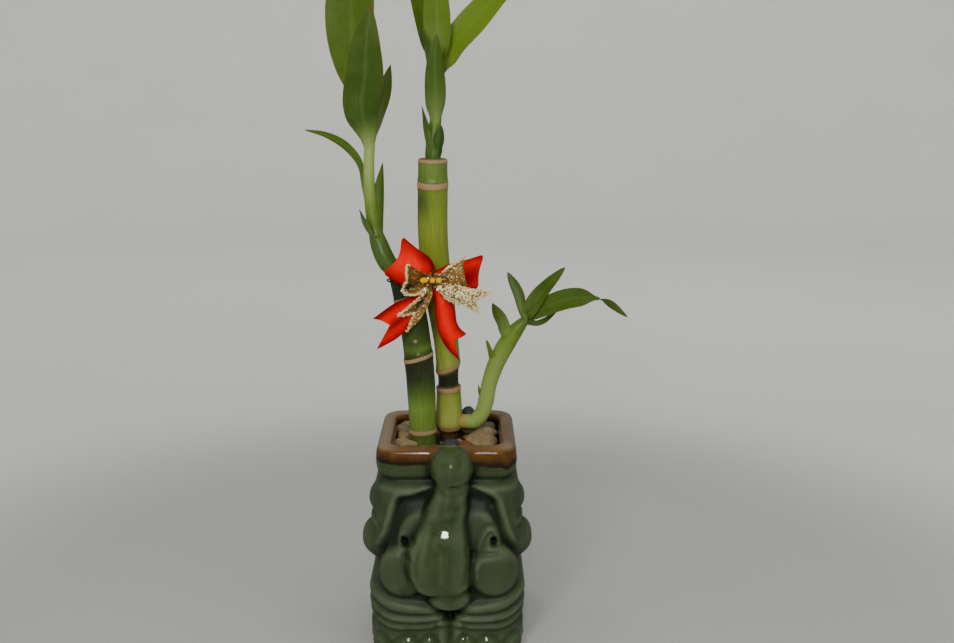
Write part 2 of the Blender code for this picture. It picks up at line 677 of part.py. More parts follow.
def cane_sections(cane, grow=0.0):
    """Points up the middle of a cane and its radius at each. grow makes it fatter and longer."""
    points = np.array(cane.points, float)
    bottom, top = points[0, 2], points[-1, 2]
    heights = {bottom, top}
    for z, _, half in cane.rings:
        heights.update((z - half * 1.5, z - half * 0.6, z + half * 0.6, z + half * 1.5))
    heights.update(np.linspace(bottom, top, CANE_STEPS))
    heights = np.array(sorted(z for z in heights if bottom <= z <= top))
    kept = [heights[0]]
    for z in heights[1:]:
        if z - kept[-1] > CANE_LEAST_STEP:
            kept.append(z)
    kept[-1] = top
    heights = np.array(kept)
    middles = smooth_values(heights, points[:, 2], points)
    radii = np.full(len(heights), cane.radius)
    for z, extra, half in cane.rings:
        radii += extra * (np.abs(heights - z) < half)
    if grow:
        middles[0, 2] -= grow
        middles[-1, 2] += grow
        radii += grow
    return middles, radii


def build_cane(name, cane, color, collection):
    """A cane with its scar rings."""
    middles, radii = cane_sections(cane)
    obj = tube(name, middles, radii, CANE_SIDES, collection)
    obj.data.materials.append(material(name + "_skin", color, 0.3))
    return obj


# Leaves and shoots


def leaf_half_width(t, width):
    """Half width of a blade: narrow at its base, widest before the middle, and drawn out at its tip."""
    body = np.sin(np.pi * np.clip(t, 0, 1) ** 0.8) ** 0.75
    base = 0.45 * (1 - t) ** 6
    return 0.5 * width * np.maximum(body, base) + 0.35


def build_leaf(name, leaf, collection):
    """One blade: a sheet along its midrib, channelled at its base, split in triangles and thickened."""
    along = 8 if leaf.across > 2 else 6
    middles = smooth_path(leaf.midrib, along + 1)
    tangents = np.gradient(middles, axis=0)
    tangents /= np.linalg.norm(tangents, axis=1)[:, None]
    bm = bmesh.new()
    rows = []
    for i, (middle, tangent) in enumerate(zip(middles, tangents)):
        t = i / along
        heading = math.radians(leaf.facing + leaf.twist * t)
        facing = Vector((math.sin(heading), -math.cos(heading), 0.25))
        tangent = Vector(tangent)
        normal = (facing - facing.dot(tangent) * tangent).normalized()
        aside = tangent.cross(normal)
        half = float(leaf_half_width(np.array(t), leaf.width))
        lift = math.tan(math.radians(leaf.fold)) * (1 - 0.6 * t)
        row = []
        for j in range(leaf.across + 1):
            share = 2 * j / leaf.across - 1
            place = Vector(middle) + aside * (share * half) + normal * (abs(share) ** 1.4 * half * lift)
            row.append(bm.verts.new(place))
        rows.append(row)
    for lower, upper in zip(rows[:-1], rows[1:]):
        for j in range(leaf.across):
            bm.faces.new((lower[j], lower[j + 1], upper[j + 1], upper[j]))
    bmesh.ops.triangulate(bm, faces=bm.faces)
    obj = add_object(name, bm, collection)
    shell = obj.modifiers.new("Thickness", "SOLIDIFY")
    shell.thickness = LEAF_THICKNESS * MM
    shell.offset = 0.0
    apply_modifiers(obj)
    return obj


def build_shoot(name, stem, leaves, color, collection):
    """A leafy stem: the stem and its blades in one body."""
    points = smooth_path([place for place, _ in stem], 2 * len(stem))
    radii = np.interp(np.linspace(0, 1, len(points)), np.linspace(0, 1, len(stem)), [r for _, r in stem])
    shoot = tube(name, points, radii, STEM_SIDES, collection)
    blades = [build_leaf(f"{name}_leaf_{i}", leaf, collection) for i, leaf in enumerate(leaves)]
    fuse(shoot, blades)
    shoot.data.materials.clear()
    shoot.data.materials.append(material(name + "_leaf", color, 0.4))
    return shoot


# Bows and tie


def build_strip(name, places, acrosses, widths, collection, cup=None):
    """A ribbon as a thin solid: a sheet along places, with its width along acrosses and its middle cupped."""
    bm = bmesh.new()
    rows = []
    cup = cup or [Vector((0, 0, 0))] * len(places)
    for place, across, width, push in zip(places, acrosses, widths, cup):
        row = []
        for share in (-1, 0, 1):
            row.append(bm.verts.new(place + across * (share * width / 2) + push * (1 - abs(share))))
        rows.append(row)
    for lower, upper in zip(rows[:-1], rows[1:]):
        for j in range(2):
            bm.faces.new((lower[j], lower[j + 1], upper[j + 1], upper[j]))
    bmesh.ops.triangulate(bm, faces=bm.faces)
    obj = add_object(name, bm, collection)
    shell = obj.modifiers.new("Thickness", "SOLIDIFY")
    shell.thickness = RIBBON_THICKNESS * MM
    shell.offset = 0.0
    apply_modifiers(obj)
    return obj


def directions(angle):
    """Along and across a loop or tail that leaves the waist at this angle in the plane of the face."""
    turn = math.radians(angle)
    return Vector((math.cos(turn), 0, math.sin(turn))), Vector((-math.sin(turn), 0, math.cos(turn)))


def build_loop(name, loop, waist_y, collection):
    """A loop: out along the front, round its end and back behind."""
    along, across = directions(loop.direction)
    root = BOW_X + math.copysign(LOOP_ROOT, along.x)
    count = 13
    places, widths = [], []
    for i in range(count):
        t = i / (count - 1)
        out = loop.length * math.sin(math.pi * t) ** 0.8
        depth = -loop.depth / 2 * math.sin(2 * math.pi * t) - 0.9 * math.cos(math.pi * t)
        ahead = min(1.0, max(0.0, (out - LOOP_ROOT) / (0.5 * loop.length)))
        y = waist_y + (loop.middle - waist_y) * ahead + depth * (0.4 + 0.6 * ahead)
        places.append(Vector((root, y, BOW_Z)) + along * out)
        widths.append(ROOT_WIDTH + (loop.width - ROOT_WIDTH) * math.sin(math.pi * t) ** 0.9)
    return build_strip(name, places, [across] * count, widths, collection)


def build_tail(name, tail, waist_y, collection):
    """A tail: from under the waist to a notched end."""
    along, across = directions(tail.direction)
    root = BOW_X + math.copysign(TAIL_ROOT, along.x)
    count = 8
    places, widths, cups = [], [], []
    for i in range(count):
        t = i / (count - 1)
        y = waist_y + (tail.end_y - waist_y) * t - 1.5 * math.sin(math.pi * t)
        places.append(Vector((root, y, BOW_Z)) + along * (tail.length * t))
        widths.append(ROOT_WIDTH + (tail.width - ROOT_WIDTH) * t**0.6)
        cups.append(Vector((0, tail.cup * math.sin(math.pi * (0.15 + 0.7 * t)), 0)))
    cups[-1] = cups[-1] - along * (NOTCH_SHARE * tail.width * 1.6)
    return build_strip(name, places, [across] * count, widths, collection, cups)


def build_bow(name, waist_y, loops, tails, color, roughness, metallic, collection):
    """A bow in one body: its waist, two loops and two tails."""
    bm = bmesh.new()
    bmesh.ops.create_uvsphere(bm, u_segments=10, v_segments=6, radius=1.0)
    bmesh.ops.scale(bm, vec=WAIST_RADII, verts=bm.verts)
    bmesh.ops.translate(bm, vec=(BOW_X, waist_y, BOW_Z), verts=bm.verts)
    bow = add_object(name, bm, collection)
    parts = [build_loop(f"{name}_loop_{i}", loop, waist_y, collection) for i, loop in enumerate(loops)]
    parts += [build_tail(f"{name}_tail_{i}", tail, waist_y, collection) for i, tail in enumerate(tails)]
    fuse(bow, parts)
    bow.data.materials.clear()
    bow.data.materials.append(material(name + "_ribbon", color, roughness, metallic))
    return bow


def cane_at(cane, z):
    """Middle of a cane at a height."""
    points = np.array(cane.points, float)
    return smooth_values(np.array([z]), points[:, 2], points)[0]


def build_tie(collection):
    """The wire round both canes, its loop over the waists of the bows, and the beads in front."""
    left, right = cane_at(LEFT_CANE, TIE_Z), cane_at(RIGHT_CANE, TIE_Z)
    line_up = math.atan2(right[1] - left[1], right[0] - left[0])
    reach = LEFT_CANE.radius + GAP + WIRE_RADIUS + 0.2
    places = []
    for middle, start in ((left, line_up + math.pi / 2), (right, line_up - math.pi / 2)):
        for i in range(9):
            angle = start + math.pi * i / 8
            places.append((middle[0] + reach * math.cos(angle), middle[1] + reach * math.sin(angle), TIE_Z))
    ring = tube("gold_tie", places, [WIRE_RADIUS] * len(places), WIRE_SIDES, collection, closed=True)
    forward = Vector((math.sin(line_up), -math.cos(line_up)))
    ahead = [Vector(middle[:2]) + reach * forward for middle in (left, right)]
    back = float(np.interp(BOW_X, [place.x for place in ahead], [place.y for place in ahead]))
    front = GOLD_WAIST_Y - WAIST_RADII[1] - GAP - WIRE_RADIUS
    bead_y = front - BEAD_RADIUS
    middle, depth = (back + front) / 2, (back - front) / 2
    high = WAIST_RADII[2] + GAP + WIRE_RADIUS + 0.3
    oval = []
    for i in range(16):
        angle = 2 * math.pi * i / 16
        y = middle + depth * math.copysign(abs(math.cos(angle)) ** 0.7, math.cos(angle))
        z = BOW_Z + high * math.copysign(abs(math.sin(angle)) ** 0.7, math.sin(angle))
        oval.append((BOW_X, y, z))
    parts = [tube("waist_wire", oval, [WIRE_RADIUS] * len(oval), WIRE_SIDES, collection, closed=True)]
    for i, offset in enumerate(BEAD_OFFSETS):
        bm = bmesh.new()
        bmesh.ops.create_uvsphere(bm, u_segments=10, v_segments=6, radius=BEAD_RADIUS)
        bmesh.ops.translate(bm, vec=(BOW_X + offset, bead_y, BOW_Z), verts=bm.verts)
        parts.append(add_object(f"bead_{i}", bm, collection))
    bar = [(BOW_X + BEAD_OFFSETS[0], bead_y, BOW_Z), (BOW_X + BEAD_OFFSETS[-1], bead_y, BOW_Z)]
    parts.append(tube("bead_wire", bar, (WIRE_RADIUS, WIRE_RADIUS), WIRE_SIDES, collection))
    fuse(ring, parts)
    ring.data.materials.clear()
    ring.data.materials.append(material("gold_wire", (0.75, 0.5, 0.08), 0.25, 1.0))
    return ring


def main():
    clear_scene()
    collection = bpy.data.collections.new("potted_lucky_bamboo")
    bpy.context.scene.collection.children.link(collection)
    build_pot(collection)
    bed = build_bed(collection)
    build_cane("left_cane", LEFT_CANE, (0.05, 0.14, 0.015), collection)
    build_cane("right_cane", RIGHT_CANE, (0.2, 0.3, 0.03), collection)
    room = []
    for name, cane in (("left", LEFT_CANE), ("right", RIGHT_CANE)):
        middles, radii = cane_sections(cane, GAP)
        room.append(tube(f"{name}_room", middles, radii, CANE_SIDES, collection))
    left = build_shoot("left_shoot", LEFT_STEM, LEFT_LEAVES, (0.1, 0.25, 0.03), collection)
    top = build_shoot("right_top_shoot", TOP_STEM, TOP_LEAVES, (0.14, 0.3, 0.04), collection)
    side = build_shoot("right_side_shoot", SIDE_STEM, SIDE_LEAVES, (0.2, 0.32, 0.06), collection)
    boolean(left, "DIFFERENCE", room[0])
    boolean(top, "DIFFERENCE", room[1])
    boolean(side, "DIFFERENCE", room[1])
    for cutter in room:
        boolean(bed, "DIFFERENCE", cutter)
        bpy.data.objects.remove(cutter, do_unlink=True)
    in_pot = SIDE_STEM[:5]
    foot = tube("side_room", [place for place, _ in in_pot], [r + GAP for _, r in in_pot], 12, collection)
    boolean(bed, "DIFFERENCE", foot)
    bpy.data.objects.remove(foot, do_unlink=True)
    build_bow("red_bow", RED_WAIST_Y, RED_LOOPS, RED_TAILS, (0.6, 0.02, 0.015), 0.35, 0.0, collection)
    build_bow("gold_bow", GOLD_WAIST_Y, GOLD_LOOPS, GOLD_TAILS, (0.55, 0.38, 0.12), 0.4, 0.8, collection)
    build_tie(collection)


main()
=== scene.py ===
"""Looks of a potted lucky bamboo: an elephant pot, pebbles, two canes, three leafy shoots, two bows and a tie.

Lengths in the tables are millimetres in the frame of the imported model, and MM turns them into metres.
The elephant faces -Y, and the origin is on the flat underside of the pot, in the middle.
"""

import logging
import math
import random
from dataclasses import dataclass, field
from enum import Enum
from functools import cache
from typing import Any, Sequence

import bpy
import numpy as np
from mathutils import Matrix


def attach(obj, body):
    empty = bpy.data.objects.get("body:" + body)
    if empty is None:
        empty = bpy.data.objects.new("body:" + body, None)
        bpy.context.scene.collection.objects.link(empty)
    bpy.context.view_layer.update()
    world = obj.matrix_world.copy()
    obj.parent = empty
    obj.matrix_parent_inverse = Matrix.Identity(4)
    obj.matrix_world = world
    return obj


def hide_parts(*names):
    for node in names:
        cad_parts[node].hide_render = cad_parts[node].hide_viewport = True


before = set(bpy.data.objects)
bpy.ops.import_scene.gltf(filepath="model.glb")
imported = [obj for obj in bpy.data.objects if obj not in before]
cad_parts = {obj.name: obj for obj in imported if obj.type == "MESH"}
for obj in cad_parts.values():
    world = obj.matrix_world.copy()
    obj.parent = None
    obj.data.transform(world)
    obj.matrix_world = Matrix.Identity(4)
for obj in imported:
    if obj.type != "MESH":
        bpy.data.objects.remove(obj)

LOG = logging.getLogger("potted_bamboo")
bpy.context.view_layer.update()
MM = 0.001

Array = np.ndarray
Place = tuple[float, float, float]
Flat = tuple[float, float]
Colour = tuple[float, float, float, float]
Material = bpy.types.Material
Mesh = bpy.types.Mesh
Object = bpy.types.Object
NodeTree = bpy.types.NodeTree
Node = bpy.types.Node
Socket = bpy.types.NodeSocket


class Slot(Enum):
    """Material slot names, passed with each piece and its finish but not used by the script."""

    GLAZE = "pot_glaze"
    PEBBLES = "pebbles"
    LEFT_CANE = "left_cane_skin"
    RIGHT_CANE = "right_cane_skin"
    LEAF = "leaf"
    SATIN = "red_satin"
    GOLD = "gold_ribbon"
    WIRE = "gold_wire"


def paint(red: float, green: float, blue: float) -> Colour:
    """A colour as seen on a screen, 0 to 255, turned into the linear values that shaders take, with full alpha."""
    shares = (c / 255 for c in (red, green, blue))
    return (*(s / 12.92 if s <= 0.04045 else ((s + 0.055) / 1.055) ** 2.4 for s in shares), 1.0)


# Curves and surfaces


def smooth_values(at: Array, places: Array, values: Array) -> Array:
    """A smooth curve through (places, values), read at each number in at.

    Args:
        at: Where to read the curve.
        places: Places of the given values, rising.
        values: One value or one point for each place.

    Returns:
        The values read.
    """
    places = np.asarray(places, float)
    values = np.asarray(values, float)
    slopes = np.gradient(values, places, axis=0)
    index = np.clip(np.searchsorted(places, at, side="right") - 1, 0, len(places) - 2)
    step = places[index + 1] - places[index]
    t = (np.asarray(at, float) - places[index]) / step
    if values.ndim > 1:
        t = t[:, None]
        step = step[:, None]
    start = (1 + 2 * t) * (1 - t) ** 2 * values[index] + t * (1 - t) ** 2 * step * slopes[index]
    end = t**2 * (3 - 2 * t) * values[index + 1] + t**2 * (t - 1) * step * slopes[index + 1]
    return start + end


def lengths_along(points: Array) -> Array:
    """How far each point of a path lies from its start, along the path."""
    return np.concatenate([[0.0], np.cumsum(np.linalg.norm(np.diff(points, axis=0), axis=1))])


def smooth_path(points: Sequence[Sequence[float]], count: int) -> Array:
    """Points evenly spaced along a smooth curve through the given ones.

    Args:
        points: The points that the curve passes.
        count: How many points to return.

    Returns:
        The points, one a row.
    """
    points = np.asarray(points, float)
    lengths = lengths_along(points)
    return smooth_values(np.linspace(0.0, lengths[-1], count), lengths, points)


def ease(value: Array | float, low: float, high: float) -> Array:
    """A smooth step from 0 at low to 1 at high."""
    t = np.clip((np.asarray(value, float) - low) / (high - low), 0, 1)
    return t * t * (3 - 2 * t)


def bell(value: Array, middle: float, width: float, power: int = 2) -> Array:
    """A bell curve: 1 at the middle, and 0.37 a width away from it."""
    return np.exp(-(((value - middle) / width) ** power))


def unit(vectors: Array) -> Array:
    """The same directions with length one."""
    return vectors / np.maximum(np.linalg.norm(vectors, axis=-1, keepdims=True), 1e-9)


def blurred(grid: Array, passes: int) -> Array:
    """A grid of heights softened along both ways. The columns run round and meet.

    Args:
        grid: Heights by row and column.
        passes: How often each value is mixed with its neighbours.

    Returns:
        The softened grid.
    """
    for _ in range(passes):
        grid = (np.roll(grid, 1, axis=1) + 2 * grid + np.roll(grid, -1, axis=1)) / 4
        padded = np.vstack([grid[:1], grid, grid[-1:]])
        grid = (padded[:-2] + 2 * grid + padded[2:]) / 4
    return grid


@dataclass
class Shell:
    """One closed surface: points in millimetres, faces, and one number a point for each named mark."""

    points: Array
    faces: list[tuple[int, ...]]
    marks: dict[str, Array] = field(default_factory=dict)

    def facing_out(self) -> "Shell":
        """Turns the faces outwards, by the sign of the volume that they enclose.

        Returns:
            The shell itself.
        """
        corners = np.array([(f[0], f[i], f[i + 1]) for f in self.faces for i in range(1, len(f) - 1)])
        centred = self.points - self.points.mean(axis=0)
        first, second, third = (centred[corners[:, i]] for i in range(3))
        if np.einsum("ij,ij->i", np.cross(first, second), third).sum() < 0:
            self.faces = [face[::-1] for face in self.faces]
        return self


def loft(rings: Array, marks: dict[str, Array] | None = None) -> Shell:
    """A closed surface over rings of the same count, with a cap at each end.

    Args:
        rings: Points by ring, place round the ring and axis.
        marks: Numbers by ring and place round it, or by ring alone.

    Returns:
        The surface, with its faces turned out.
    """
    rows, columns = rings.shape[:2]
    faces, spread = [], {}
    for low in range(0, (rows - 1) * columns, columns):
        high, turns = low + columns, [(j, (j + 1) % columns) for j in range(columns)]
        faces += [(low + j, low + k, high + k, high + j) for j, k in turns]
    faces += [tuple(reversed(range(columns))), tuple(range((rows - 1) * columns, rows * columns))]
    for name, values in (marks or {}).items():
        values = np.asarray(values, float)
        spread[name] = np.broadcast_to(values.reshape(rows, -1), (rows, columns)).ravel()
    return Shell(rings.reshape(-1, 3), faces, spread).facing_out()


def make_mesh(name: str, shells: Sequence[Shell], sharp_angle: float = 40.0) -> Mesh:
    """A smooth-shaded mesh in metres that holds several closed surfaces.

    Args:
        name: Name of the mesh.
        shells: The surfaces.
        sharp_angle: Edges that turn more than this many degrees stay sharp.

    Returns:
        The mesh, with the marks as point attributes.
    """
    faces, start = [], 0
    for shell in shells:
        faces += [tuple(start + i for i in face) for face in shell.faces]
        start += len(shell.points)
    mesh = bpy.data.meshes.new(name)
    mesh.from_pydata((np.vstack([s.points for s in shells]) * MM).tolist(), [], faces)
    for mark in sorted({mark for shell in shells for mark in shell.marks}):
        values = [shell.marks.get(mark, np.zeros(len(shell.points))) for shell in shells]
        attribute = mesh.attributes.new(mark, "FLOAT", "POINT")
        attribute.data.foreach_set("value", np.concatenate(values).astype(np.float32))
    mesh.shade_smooth()
    mesh.set_sharp_from_angle(angle=math.radians(sharp_angle))
    mesh.update()
    return mesh


def add_object(name: str, data: Any) -> Object:
    """An object in the scene that holds the given data.

    Args:
        name: The object's name.
        data: Its mesh, curve, camera or lamp.

    Returns:
        The object.
    """
    made = bpy.data.objects.new(name, data)
    bpy.context.scene.collection.objects.link(made)
    return made


def settle(mesh: Mesh, finish: Material, slot: Slot, *nodes: str) -> Object:
    """Makes a finished piece of a mesh and hands it to the frame.

    Args:
        mesh: The piece's mesh, in its place. Its name becomes the piece's name.
        finish: The piece's material.
        slot: The slot that the finish belongs to; not used.
        nodes: The solids that the piece stands for.

    Returns:
        The piece.
    """
    piece = add_object(mesh.name, mesh)
    mesh.materials.clear()
    mesh.materials.append(finish)
    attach(piece, "root")
    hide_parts(*nodes)
    LOG.info("%s stands for %s, %d faces", piece.name, ", ".join(nodes), len(mesh.polygons))
    return piece


# Node trees


class Graph:
    """A node tree being built, with short calls for the nodes that the finishes and the makers use."""

    def __init__(self, tree: NodeTree) -> None:
        """Keeps the tree that the nodes go into."""
        self.tree = tree

    def node(self, kind: str, inputs: dict[int | str, Any] | None = None, **settings: Any) -> Node:
        """Adds a node.

        Args:
            kind: The node's type.
            inputs: What goes into its sockets, by name or number: a value, a socket or another node.
            settings: The node's own properties.

        Returns:
            The node.
        """
        node = self.tree.nodes.new(kind)
        for name, value in settings.items():
            setattr(node, name, value)
        for key, value in (inputs or {}).items():
            self.put(value, node.inputs[key])
        return node

    def put(self, value: Any, socket: Socket) -> None:
        """Links or sets a socket.

        Args:
            value: A value, a socket, or a node whose first live output is meant.
            socket: The socket that takes it.
        """
        if isinstance(value, bpy.types.Node):
            value = next(s for s in value.outputs if s.enabled)
        if isinstance(value, bpy.types.NodeSocket):
            self.tree.links.new(value, socket)
        else:
            socket.default_value = value

    def mark(self, name: str) -> Socket:
        """A mark of the mesh as a number."""
        return self.node("ShaderNodeAttribute", attribute_name=name).outputs["Fac"]

    def place(self) -> Socket:
        """The place on the object, in metres."""
        return self.node("ShaderNodeTexCoord").outputs["Object"]

    def maths(self, operation: str, *values: Any, clamp: bool = False) -> Socket:
        """One sum of the values, kept between 0 and 1 if clamp is set."""
        return self.node("ShaderNodeMath", dict(enumerate(values)), operation=operation, use_clamp=clamp).outputs[0]

    def times(self, first: Any, second: Any, *more: Any, clamp: bool = False) -> Socket:
        """Two numbers multiplied, with a third added where it is given."""
        return self.maths("MULTIPLY_ADD" if more else "MULTIPLY", first, second, *more, clamp=clamp)

    def vector(self, operation: str, *values: Any, **others: Any) -> Node:
        """One sum of vectors, with its Scale where it has one."""
        return self.node("ShaderNodeVectorMath", {**dict(enumerate(values)), **others}, operation=operation)

    def fit(self, value: Any, low: Any, high: Any, to_low: float = 0.0, to_high: float = 1.0) -> Socket:
        """A smooth step from to_low to to_high, while the value goes from low to high."""
        inputs = dict(enumerate((value, low, high, to_low, to_high)))
        return self.node("ShaderNodeMapRange", inputs, interpolation_type="SMOOTHSTEP").outputs[0]

    def noise(self, vector: Any, scale: Any, detail: float = 3.0, roughness: float = 0.5) -> Socket:
        """Soft noise, about 0.5 on average: waves a metre, finer layers and how strong those are."""
        inputs = {"Vector": vector, "Scale": scale, "Detail": detail, "Roughness": roughness}
        return self.node("ShaderNodeTexNoise", inputs).outputs[0]

    def mix(self, share: Any, first: Any, second: Any) -> Socket:
        """Two colours mixed, by the share of the second."""
        return self.node("ShaderNodeMix", {0: share, 6: first, 7: second}, data_type="RGBA").outputs[2]

    def layers(self, colour: Any, *coats: tuple[Any, Any]) -> Socket:
        """A colour under several coats.

        Args:
            colour: The colour below.
            coats: The share and the colour of each coat, from the lowest up.

        Returns:
            The colour seen.
        """
        for share, coat in coats:
            colour = self.mix(share, colour, coat)
        return colour

    def ramp(self, factor: Any, stops: Sequence[tuple[float, Colour]]) -> Socket:
        """A colour read from a row of colours.

        Args:
            factor: Where it is read, 0 to 1.
            stops: The place of each colour, and the colour.

        Returns:
            The colour.
        """
        node = self.node("ShaderNodeValToRGB", {0: factor})
        elements = node.color_ramp.elements
        while len(elements) < len(stops):
            elements.new(0.5)
        for element, (place, colour) in zip(elements, stops):
            element.position = place
            element.color = colour
        return node.outputs[0]

    def bump(self, height: Any, strength: float, depth: float) -> Socket:
        """A normal bent by a height of 0 to 1: the share of the effect, and the depth of 1 in metres."""
        inputs = {"Strength": strength, "Distance": depth, "Height": height}
        return self.node("ShaderNodeBump", inputs).outputs[0]

    def effect(self, tree: NodeTree, **inputs: Any) -> Node:
        """Places an effect group.

        Args:
            tree: The group.
            inputs: What goes into its named inputs.

        Returns:
            The group's node.
        """
        node = self.node("ShaderNodeGroup", node_tree=tree)
        for name, value in inputs.items():
            self.put(value, node.inputs[name.capitalize()])
        return node

    def mottle(self, scale: float, low: float, high: float) -> Node:
        """Soft patches."""
        return self.effect(mottle_group(), scale=scale, low=low, high=high)

    def streaks(self, scale: float, stretch: float) -> Node:
        """Fine streaks up a stalk or a blade."""
        return self.effect(streak_group(), scale=scale, stretch=stretch)

    def grain(self, scale: float) -> Node:
        """Fine grain."""
        return self.effect(grain_group(), scale=scale)

    def dress(self, **inputs: Any) -> None:
        """Fills sockets of the material's shader.

        Args:
            inputs: What goes into each, by its name with a low line for each space.
        """
        shader = self.tree.nodes["Principled BSDF"]
        for label, value in inputs.items():
            self.put(value, shader.inputs[label.replace("_", " ")])

    def close(self, result: Any) -> NodeTree:
        """Ends a node group with what it puts out."""
        self.put(result, self.node("NodeGroupOutput").inputs[0])
        return self.tree

    def close_real(self, geometry: Any, material: Socket) -> NodeTree:
        """Ends a geometry tree in real geometry with its material."""
        real = self.node("GeometryNodeRealizeInstances", {0: geometry})
        return self.close(self.node("GeometryNodeSetMaterial", {"Geometry": real, "Material": material}))


def open_tree(name: str, kind: str, inputs: dict[str, str], output: str, output_kind: str) -> tuple[Graph, Any]:
    """Starts a node group.

    Args:
        name: The group's name.
        kind: What it is for, as Shader or Geometry.
        inputs: Its named inputs and their kinds.
        output: The name of its output.
        output_kind: The kind of its output.

    Returns:
        The group's graph, and its inputs by name.
    """
    tree = bpy.data.node_groups.new(name, kind + "NodeTree")
    for label, socket in inputs.items():
        tree.interface.new_socket(label, in_out="INPUT", socket_type="NodeSocket" + socket)
    tree.interface.new_socket(output, in_out="OUTPUT", socket_type="NodeSocket" + output_kind)
    graph = Graph(tree)
    return graph, graph.node("NodeGroupInput").outputs


def effect_group(name: str, output: str, *inputs: str) -> tuple[Graph, Any]:
    """Starts an effect group, whose output and inputs are numbers."""
    return open_tree(name, "Shader", dict.fromkeys(inputs, "Float"), output, "Float")


@cache
def mottle_group() -> NodeTree:
    """Soft patches over a surface: how many a metre, and where their edges start and end."""
    graph, given = effect_group("Mottle", "Mask", "Scale", "Low", "High")
    return graph.close(graph.fit(graph.noise(graph.place(), given["Scale"], 4, 0.6), given["Low"], given["High"]))


@cache
def streak_group() -> NodeTree:
    """Fine streaks that run up a stalk: how many a metre across, and how much longer than wide they are.

    Returns:
        The group.
    """
    graph, given = effect_group("Streaks", "Mask", "Scale", "Stretch")
    along = graph.maths("DIVIDE", given["Scale"], given["Stretch"])
    scales = graph.node("ShaderNodeCombineXYZ", {0: given["Scale"], 1: given["Scale"], 2: along})
    place = graph.vector("MULTIPLY", graph.place(), scales)
    return graph.close(graph.fit(graph.noise(place, 1, 3, 0.6), 0.3, 0.7))


@cache
def grain_group() -> NodeTree:
    """Fine grain as a height: how many grains a metre."""
    graph, given = effect_group("Grain", "Height", "Scale")
    return graph.close(graph.noise(graph.place(), given["Scale"], 5, 0.65))


@cache
def vein_group() -> NodeTree:
    """Lengthwise veins of a leaf: the place across it, and how many veins it has.

    Returns:
        The group.
    """
    graph, given = effect_group("Veins", "Height", "Across", "Count")
    place = graph.times(graph.noise(graph.place(), 140, 2), 0.16, given["Across"])
    wave = graph.maths("SINE", graph.times(place, graph.times(given["Count"], math.pi)))
    return graph.close(graph.times(wave, 0.5, 0.5))


def new_finish(name: str, **constants: Any) -> tuple[Material, Graph]:
    """Starts a material.

    Args:
        name: The material's name.
        constants: Values of the shader's sockets that are the same all over.

    Returns:
        The material and its graph.
    """
    made = bpy.data.materials.new(name)
    made.use_nodes = True
    graph = Graph(made.node_tree)
    graph.dress(**constants)
    return made, graph


# Finishes


@dataclass(frozen=True)
class PotGlaze:
    """Green glaze that breaks pale on ridges and pools dark in hollows, with painted shade under the headdress and in
    the eye holes, a brown rim and a bare foot.
    """

    ridge: Colour = paint(78, 90, 64)
    body: Colour = paint(52, 64, 40)
    moss: Colour = paint(58, 68, 26)
    pool: Colour = paint(15, 22, 8)
    hole: Colour = paint(4, 5, 2)
    brown: Colour = paint(88, 56, 17)
    brown_pool: Colour = paint(22, 13, 6)
    amber: Colour = paint(120, 104, 76)
    biscuit: Colour = paint(176, 154, 124)

    def build(self) -> Material:
        """Makes the material.

        Returns:
            The material.
        """
        made, graph = new_finish("pot_glaze", IOR=1.52, Specular_IOR_Level=0.5)
        green = graph.layers(
            self.body,
            (graph.times(graph.mottle(70, 0.35, 0.7), 0.45), self.moss),
            (graph.times(graph.mark("ridge"), 0.85), self.ridge),
            (graph.times(graph.mottle(115, 0.48, 0.72), 0.34), self.pool),
            # Glaze pooled in hollows, and painted shade on the plain wall of the face under the headdress.
            (graph.mark("pool"), self.pool),
            # Painted shade: the eye holes are coloured near black.
            (graph.mark("hole"), self.hole),
            (graph.times(graph.mottle(900, 0.5, 0.75), 0.16), self.pool),
        )
        brown = graph.layers(
            self.brown,
            (graph.times(graph.mottle(160, 0.35, 0.65), 0.5), self.brown_pool),
            (graph.mark("sunk"), self.brown_pool),
            (graph.mark("crest"), self.amber),
            (graph.mark("inner"), self.brown_pool),
        )
        bare = graph.mark("bare")
        rough = graph.fit(graph.grain(300), 0.3, 0.7, 0.05, 0.11)
        rough = graph.times(bare, 0.7, rough, clamp=True)
        rough = graph.times(graph.mark("dull"), 0.42, rough, clamp=True)
        colour = graph.layers(green, (graph.mark("brown"), brown), (bare, self.biscuit))
        graph.dress(Base_Color=colour, Roughness=rough, Normal=graph.bump(graph.grain(180), 0.35, 0.0003))
        return made


@dataclass(frozen=True)
class RiverStone:
    """Matt river pebbles, each with its own tint, veined and speckled."""

    tints: tuple[tuple[float, Colour], ...] = (
        (0, paint(40, 56, 56)), (0.2, paint(86, 84, 70)), (0.4, paint(116, 104, 78)), (0.65, paint(140, 116, 76)),
        (0.85, paint(122, 84, 48)), (1, paint(108, 58, 28)),
    )
    speck: Colour = paint(66, 56, 40)

    def build(self) -> Material:
        """Makes the material.

        Returns:
            The material.
        """
        made, graph = new_finish("river_stone", IOR=1.5)
        stone = graph.layers(
            graph.ramp(graph.mark("tint"), self.tints),
            (graph.times(graph.mottle(260, 0.45, 0.62), 0.35), self.speck),
            (graph.times(graph.mottle(1500, 0.52, 0.66), 0.4), self.speck),
        )
        grain = graph.grain(1400)
        rough = graph.fit(grain, 0.3, 0.7, 0.45, 0.7)
        graph.dress(Base_Color=stone, Roughness=rough, Normal=graph.bump(grain, 0.5, 0.0004))
        return made


